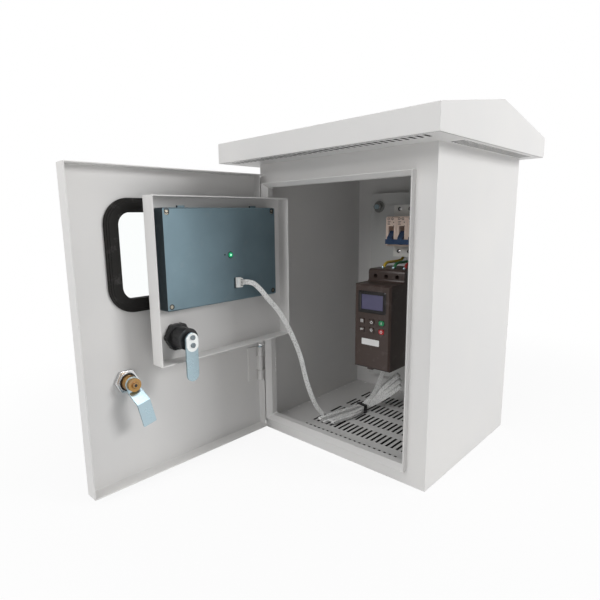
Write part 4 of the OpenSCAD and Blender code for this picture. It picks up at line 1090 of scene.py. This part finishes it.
class CABINET_OT_starter(bpy.types.Operator):
    """Finish the soft starter, and add its key symbols, screen frame, bare plate and terminal screws"""

    bl_idname = "cabinet.starter"
    bl_label = "Soft starter"

    def execute(self, context):
        looks = context.scene.cabinet_gear
        brown = moulded("starter_brown", looks.starter, 0.40, 0.14)
        membrane = moulded("keypad_membrane", scaled(looks.starter, 0.92), 0.46, 0.08)
        dark_key = moulded("key_dark", scaled(looks.starter, 1.05), 0.42, 0.06)
        white = moulded("print_white", (0.78, 0.78, 0.77), 0.5, 0.02)
        dress_all(brown, 0.0006, "starter_case", "starter_terminal_cover")
        dress("starter_keypad", membrane)
        dress("starter_screen", display_material("starter_display", (0.075, 0.070, 0.135), 0.10))
        dress_all(dark_key, 0.0004, "key_menu", "key_up", "key_back", "key_down")
        dress("key_start", moulded("key_green", (0.015, 0.24, 0.09), 0.35, 0.03, 0.2), 0.0004)
        dress("key_stop", moulded("key_red", (0.42, 0.018, 0.022), 0.35, 0.03, 0.2), 0.0004)

        for key, strokes in KEY_STROKES.items():
            low, high = box_corners(key)
            mid_x, mid_z = (low.x + high.x) / 2, (low.z + high.z) / 2

            def symbol(bm):
                for *ends, width in strokes:
                    bar = bar_outline(*(v * MM for v in ends), width * MM)
                    outline = [(mid_x + a, mid_z + b) for a, b in bar]
                    slab(bm, (0, low.y, 0), *FRONT_PLANE, outline, -0.00005, 0.00008, 0.00001)

            body, slot = key.replace("key_", "press_"), KEY_SLOTS.get(key, "keypad_dark")
            piece(key + "_symbol", symbol, white, body, slot)

        face_y = box_corners("starter_case")[0].y
        s_low, s_high = box_corners("starter_screen")

        def frame_ring(bm):
            mid_x, mid_z = (s_low.x + s_high.x) / 2, (s_low.z + s_high.z) / 2
            half_w, half_h = (s_high.x - s_low.x) / 2, (s_high.z - s_low.z) / 2
            rings = []
            for grow, y in ((-0.0024, -0.0001), (-0.0022, -0.0006), (-0.0004, -0.0012), (0.0016, -0.0013),
                            (0.0026, -0.0006), (0.0026, 0.0002), (-0.0020, 0.0001)):
                rings.append([bm.verts.new((mid_x + x, face_y + y, mid_z + z)) for x, z in
                              round_rect(2 * (half_w + grow), 2 * (half_h + grow), 0.0009 + grow * 0.5)])
            bridge(bm, rings + rings[:1])

        dark = moulded("screen_surround", (0.012, 0.010, 0.010), 0.35, 0.04)
        piece("starter_screen_frame", frame_ring, dark, "cabinet", "keypad_dark")

        def plate(bm):
            outline = round_rect(0.0296, 0.0092, 0.0010)
            slab(bm, (0.0021, face_y, 0.1440), *FRONT_PLANE, outline, -0.00008, 0.00030, 0.0002)

        piece("starter_bare_plate", plate, white, "cabinet", "socket_white")

        def terminals(bm):
            for wire in WIRES:
                low = box_corners(wire)[0]
                screw_head(bm, (middle(wire).x, low.y - 0.0020, low.z - 0.0003), UP, 0.0021, 0.0024)

        piece("starter_terminal_screws", terminals, bpy.data.materials["zinc_plate"], "cabinet", "zinc")
        return {"FINISHED"}


class CABINET_OT_wires(bpy.types.Operator):
    """Finish the phase wires and the cable tie"""

    bl_idname = "cabinet.wires"
    bl_label = "Phase wires"

    def execute(self, context):
        sleeves = ((0.60, 0.42, 0.035), (0.02, 0.17, 0.06), (0.36, 0.03, 0.025))
        for wire, colour in zip(WIRES, sleeves):
            dress(wire, moulded(wire + "_sleeve", colour, 0.38, 0.03, 0.1))
        dress("cable_tie", moulded("tie_black", (0.014, 0.014, 0.015), 0.4, 0.05), 0.0005)
        return {"FINISHED"}


class CABINET_OT_ribbon(bpy.types.Operator):
    """Make the flat cable: the hanging run, and the folded length with its loops"""

    bl_idname = "cabinet.ribbon"
    bl_label = "Ribbon cable"

    def execute(self, context):
        looks = context.scene.cabinet_cable
        grey = moulded("ribbon_grey", looks.colour, 0.45, 0.05)
        tree = grey.node_tree
        weave = noise(tree, place(tree), 760.0, 1.0)
        tint_finish(grey, patches(tree, weave, 0.50, 0.64, 0.62, (*looks.colour, 1.0), (0.34, 0.34, 0.33, 1.0)))

        def make(name, points, wides, steps):
            knots = knots_along(points)
            line = [p * MM for p in smooth_path(points, knots, steps)]
            wide_line = smooth_path(wides, knots, steps)
            cable = new_object(
                name, lambda bm: ribbon_mesh(bm, line, wide_line, looks.width, looks.thickness), grey, "ribbon")
            return cable, line

        run_points = [Vector(p) for p in RUN_ROUTE]
        run_wides = [heading(run_points, i).cross(RUN_FACING).normalized() for i in range(len(run_points))]
        run, run_line = make("ribbon_hanging", run_points, run_wides, 6)
        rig.blend(run, "inner_door", "cabinet", run_line[0], run_line[-1])
        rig.replaces(run, "ribbon_run")
        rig.cord(run, exit=run_line[0], length=path_length(run_line), diameter=looks.width, far_end="object",
                stiffness="limp", lay="hanging", path=run_line)

        fold, fold_line = make("ribbon_folded", *zip(*folded_route()), 5)
        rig.ride(fold, "cabinet")
        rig.replaces(fold, "ribbon_hank", "ribbon_loops")
        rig.cord(fold, exit=fold_line[0], length=path_length(fold_line), diameter=looks.width, far_end="object",
                stiffness="limp", lay="coiled", path=fold_line, with_pieces=[NODES["cable_tie"]])
        return {"FINISHED"}


# Stage

FLOOR_REACH, FLOOR_DROP = 6.0, 0.0004
# Painted shade: the floor's colour is near black inside the cabinet's footprint
BODY_HALF_WIDTH, BODY_HALF_DEPTH = 0.1345, 0.1235  # the floor is dark under the open base
SHADOW_FROM, SHADOW_TO = 0.35, 0.85  # the floor's shadows fade out between these distances
NEAR_WHITE = 0.91  # how much of the floor's plain white is seen near the cabinet
PHOTO_EYE = (0.36908, -0.60563, 0.32293)
PHOTO_YAW, PHOTO_PITCH, PHOTO_ROLL = (math.radians(turn) for turn in (44.54, 10.22, -1.06))
PHOTO_SHIFT = (0.0374, 0.0055)
SENSOR_WIDTH = 36.0


def plain_sight(tree):
    """1 for what the camera, a reflection or a clear pane shows, and 0 for light on a surface."""
    path = tree.nodes.new("ShaderNodeLightPath").outputs
    seen = math_node(tree, "MAXIMUM", path["Is Camera Ray"], path["Is Transmission Ray"])
    return math_node(tree, "MAXIMUM", seen, path["Is Glossy Ray"])


def floor_material():
    """A pale floor that shows white, but for a soft shadow near the cabinet and a dark patch of painted shade under
    its base.
    """
    material, tree = new_material("studio_floor")
    coords = tree.nodes.new("ShaderNodeTexCoord").outputs["Object"]
    spread = add(tree, "ShaderNodeVectorMath", operation="LENGTH", Vector=coords).outputs["Value"]
    whiteness = ramp(tree, spread, SHADOW_FROM, SHADOW_TO, interpolation_type="SMOOTHSTEP", To_Min=NEAR_WHITE)
    apart = xyz(tree, coords)
    beside = math_node(tree, "GREATER_THAN", math_node(tree, "ABSOLUTE", apart["X"]), BODY_HALF_WIDTH)
    ahead_of = math_node(tree, "GREATER_THAN", math_node(tree, "ABSOLUTE", apart["Y"]), BODY_HALF_DEPTH)
    outside = math_node(tree, "MAXIMUM", beside, ahead_of)
    # Painted shade: dark under the cabinet's base, pale outside it
    ground = mix_colour(tree, outside, (0.02, 0.02, 0.02, 1), (0.80, 0.80, 0.80, 1))
    shade(material, Base_Color=ground, Roughness=0.9, Specular_IOR_Level=0.1)
    seen = math_node(tree, "MULTIPLY", plain_sight(tree), outside)
    share = math_node(tree, "MULTIPLY", seen, whiteness)
    glow = add(tree, "ShaderNodeEmission", Strength=1.0)
    blend = tree.nodes.new("ShaderNodeMixShader")
    for socket, source in zip(blend.inputs, (share, tree.nodes["Principled BSDF"].outputs[0], glow.outputs[0])):
        tree.links.new(source, socket)
    tree.links.new(blend.outputs[0], tree.nodes["Material Output"].inputs["Surface"])
    return material


def studio_world(ambient):
    """A world that shows white and lights the object by its ambient strength."""
    world = bpy.data.worlds.new("studio")
    world.use_nodes = True
    tree = world.node_tree
    background = tree.nodes["Background"].inputs
    background["Color"].default_value = (1, 1, 1, 1)
    seen = plain_sight(tree)
    low = math_node(tree, "MULTIPLY", math_node(tree, "SUBTRACT", 1.0, seen), ambient)
    tree.links.new(math_node(tree, "ADD", seen, low), background["Strength"])
    return world


def area_light(scene, name, place_at, aim, size, power):
    """A square light at a place, turned to what it aims at."""
    light = bpy.data.lights.new(name, "AREA")
    light.shape = "RECTANGLE"
    light.size = light.size_y = size
    light.energy = power
    obj = bpy.data.objects.new(name, light)
    scene.collection.objects.link(obj)
    obj.location = place_at
    obj.rotation_mode = "QUATERNION"
    obj.rotation_quaternion = (Vector(aim) - Vector(place_at)).to_track_quat("-Z", "Y")


def photo_camera(scene, lens):
    """A camera at the photograph's place and angle."""
    level = math.cos(PHOTO_PITCH)
    ahead = Vector((-math.sin(PHOTO_YAW) * level, math.cos(PHOTO_YAW) * level, -math.sin(PHOTO_PITCH)))
    right = Vector((math.cos(PHOTO_YAW), math.sin(PHOTO_YAW), 0.0))
    up = right.cross(ahead)
    tilted = right * math.cos(PHOTO_ROLL) + up * math.sin(PHOTO_ROLL)
    raised = up * math.cos(PHOTO_ROLL) - right * math.sin(PHOTO_ROLL)
    data = bpy.data.cameras.new("photo_camera")
    data.sensor_width = SENSOR_WIDTH
    data.lens = lens
    data.shift_x, data.shift_y = PHOTO_SHIFT
    data.clip_start = 0.01
    camera = bpy.data.objects.new("photo_camera", data)
    scene.collection.objects.link(camera)
    turn = Matrix((tilted, raised, -ahead)).transposed()
    camera.matrix_world = Matrix.Translation(PHOTO_EYE) @ turn.to_4x4()
    return camera


class CABINET_OT_stage(bpy.types.Operator):
    """Set the floor, the lights, the background and the camera"""

    bl_idname = "cabinet.stage"
    bl_label = "Stage"

    def execute(self, context):
        scene = context.scene
        looks = scene.cabinet_stage
        scene.view_settings.view_transform = "Standard"

        mesh = bpy.data.meshes.new("studio_floor")
        corners = ((-1, -1), (1, -1), (1, 1), (-1, 1))
        square = [(x * FLOOR_REACH, y * FLOOR_REACH, -FLOOR_DROP) for x, y in corners]
        mesh.from_pydata(square, [], [(0, 1, 2, 3)])
        mesh.materials.append(floor_material())
        floor = bpy.data.objects.new("studio_floor", mesh)
        scene.collection.objects.link(floor)
        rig.stage(floor)

        scene.world = studio_world(looks.ambient)
        area_light(scene, "key_right", (1.60, 0.60, 0.90), (0.0, -0.1, 0.25), 0.6, looks.key)
        area_light(scene, "fill_front", (-0.05, -2.0, 1.25), (0.0, 0.0, 0.25), 1.0, looks.fill * 2.0)
        area_light(scene, "top_soft", (0.3, -0.5, 2.2), (0.0, -0.1, 0.3), 1.2, looks.fill)
        scene.camera = photo_camera(scene, looks.lens)
        return {"FINISHED"}


class CABINET_PT_panel(bpy.types.Panel):
    """Sidebar list of the cabinet's pieces and looks"""

    bl_label = "Soft starter cabinet"
    bl_idname = "CABINET_PT_panel"
    bl_space_type = "VIEW_3D"
    bl_region_type = "UI"
    bl_category = "Cabinet"

    def draw(self, context):
        column = self.layout.column()
        for operator in OPERATORS:
            column.operator(operator.bl_idname)
        for name in LOOKS:
            group = getattr(context.scene, name)
            for key in group.bl_rna.properties.keys():
                if key not in ("rna_type", "name"):
                    column.prop(group, key)


LOOKS = {
    "cabinet_paint": PaintLooks,
    "cabinet_fittings": FittingLooks,
    "cabinet_gear": GearLooks,
    "cabinet_cable": CableLooks,
    "cabinet_stage": StageLooks,
}
OPERATORS = (
    CABINET_OT_stage, CABINET_OT_ribbon, CABINET_OT_sheet, CABINET_OT_window, CABINET_OT_locks,
    CABINET_OT_operator_panel, CABINET_OT_breaker, CABINET_OT_starter, CABINET_OT_wires,
)
CLASSES = (*LOOKS.values(), *OPERATORS, CABINET_PT_panel)


def register():
    """Registers the classes, and gives the scene its looks."""
    for cls in CLASSES:
        bpy.utils.register_class(cls)
    for name, group in LOOKS.items():
        setattr(bpy.types.Scene, name, PointerProperty(type=group))


def unregister():
    """Takes the looks and the classes away again."""
    for name in LOOKS:
        delattr(bpy.types.Scene, name)
    for cls in reversed(CLASSES):
        bpy.utils.unregister_class(cls)


def main():
    register()
    for obj in list(bpy.context.scene.objects):
        if obj.type in ("LIGHT", "CAMERA"):
            bpy.data.objects.remove(obj)
    make_groups()
    for operator in OPERATORS:
        family, name = operator.bl_idname.split(".")
        getattr(getattr(bpy.ops, family), name)()
    visual = [list(corner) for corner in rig.bounds()]
    with open("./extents.json", "w") as out:
        json.dump({"cad_box": CAD_BOX, "visual_box": visual}, out)


if __name__ == "__main__":
    main()
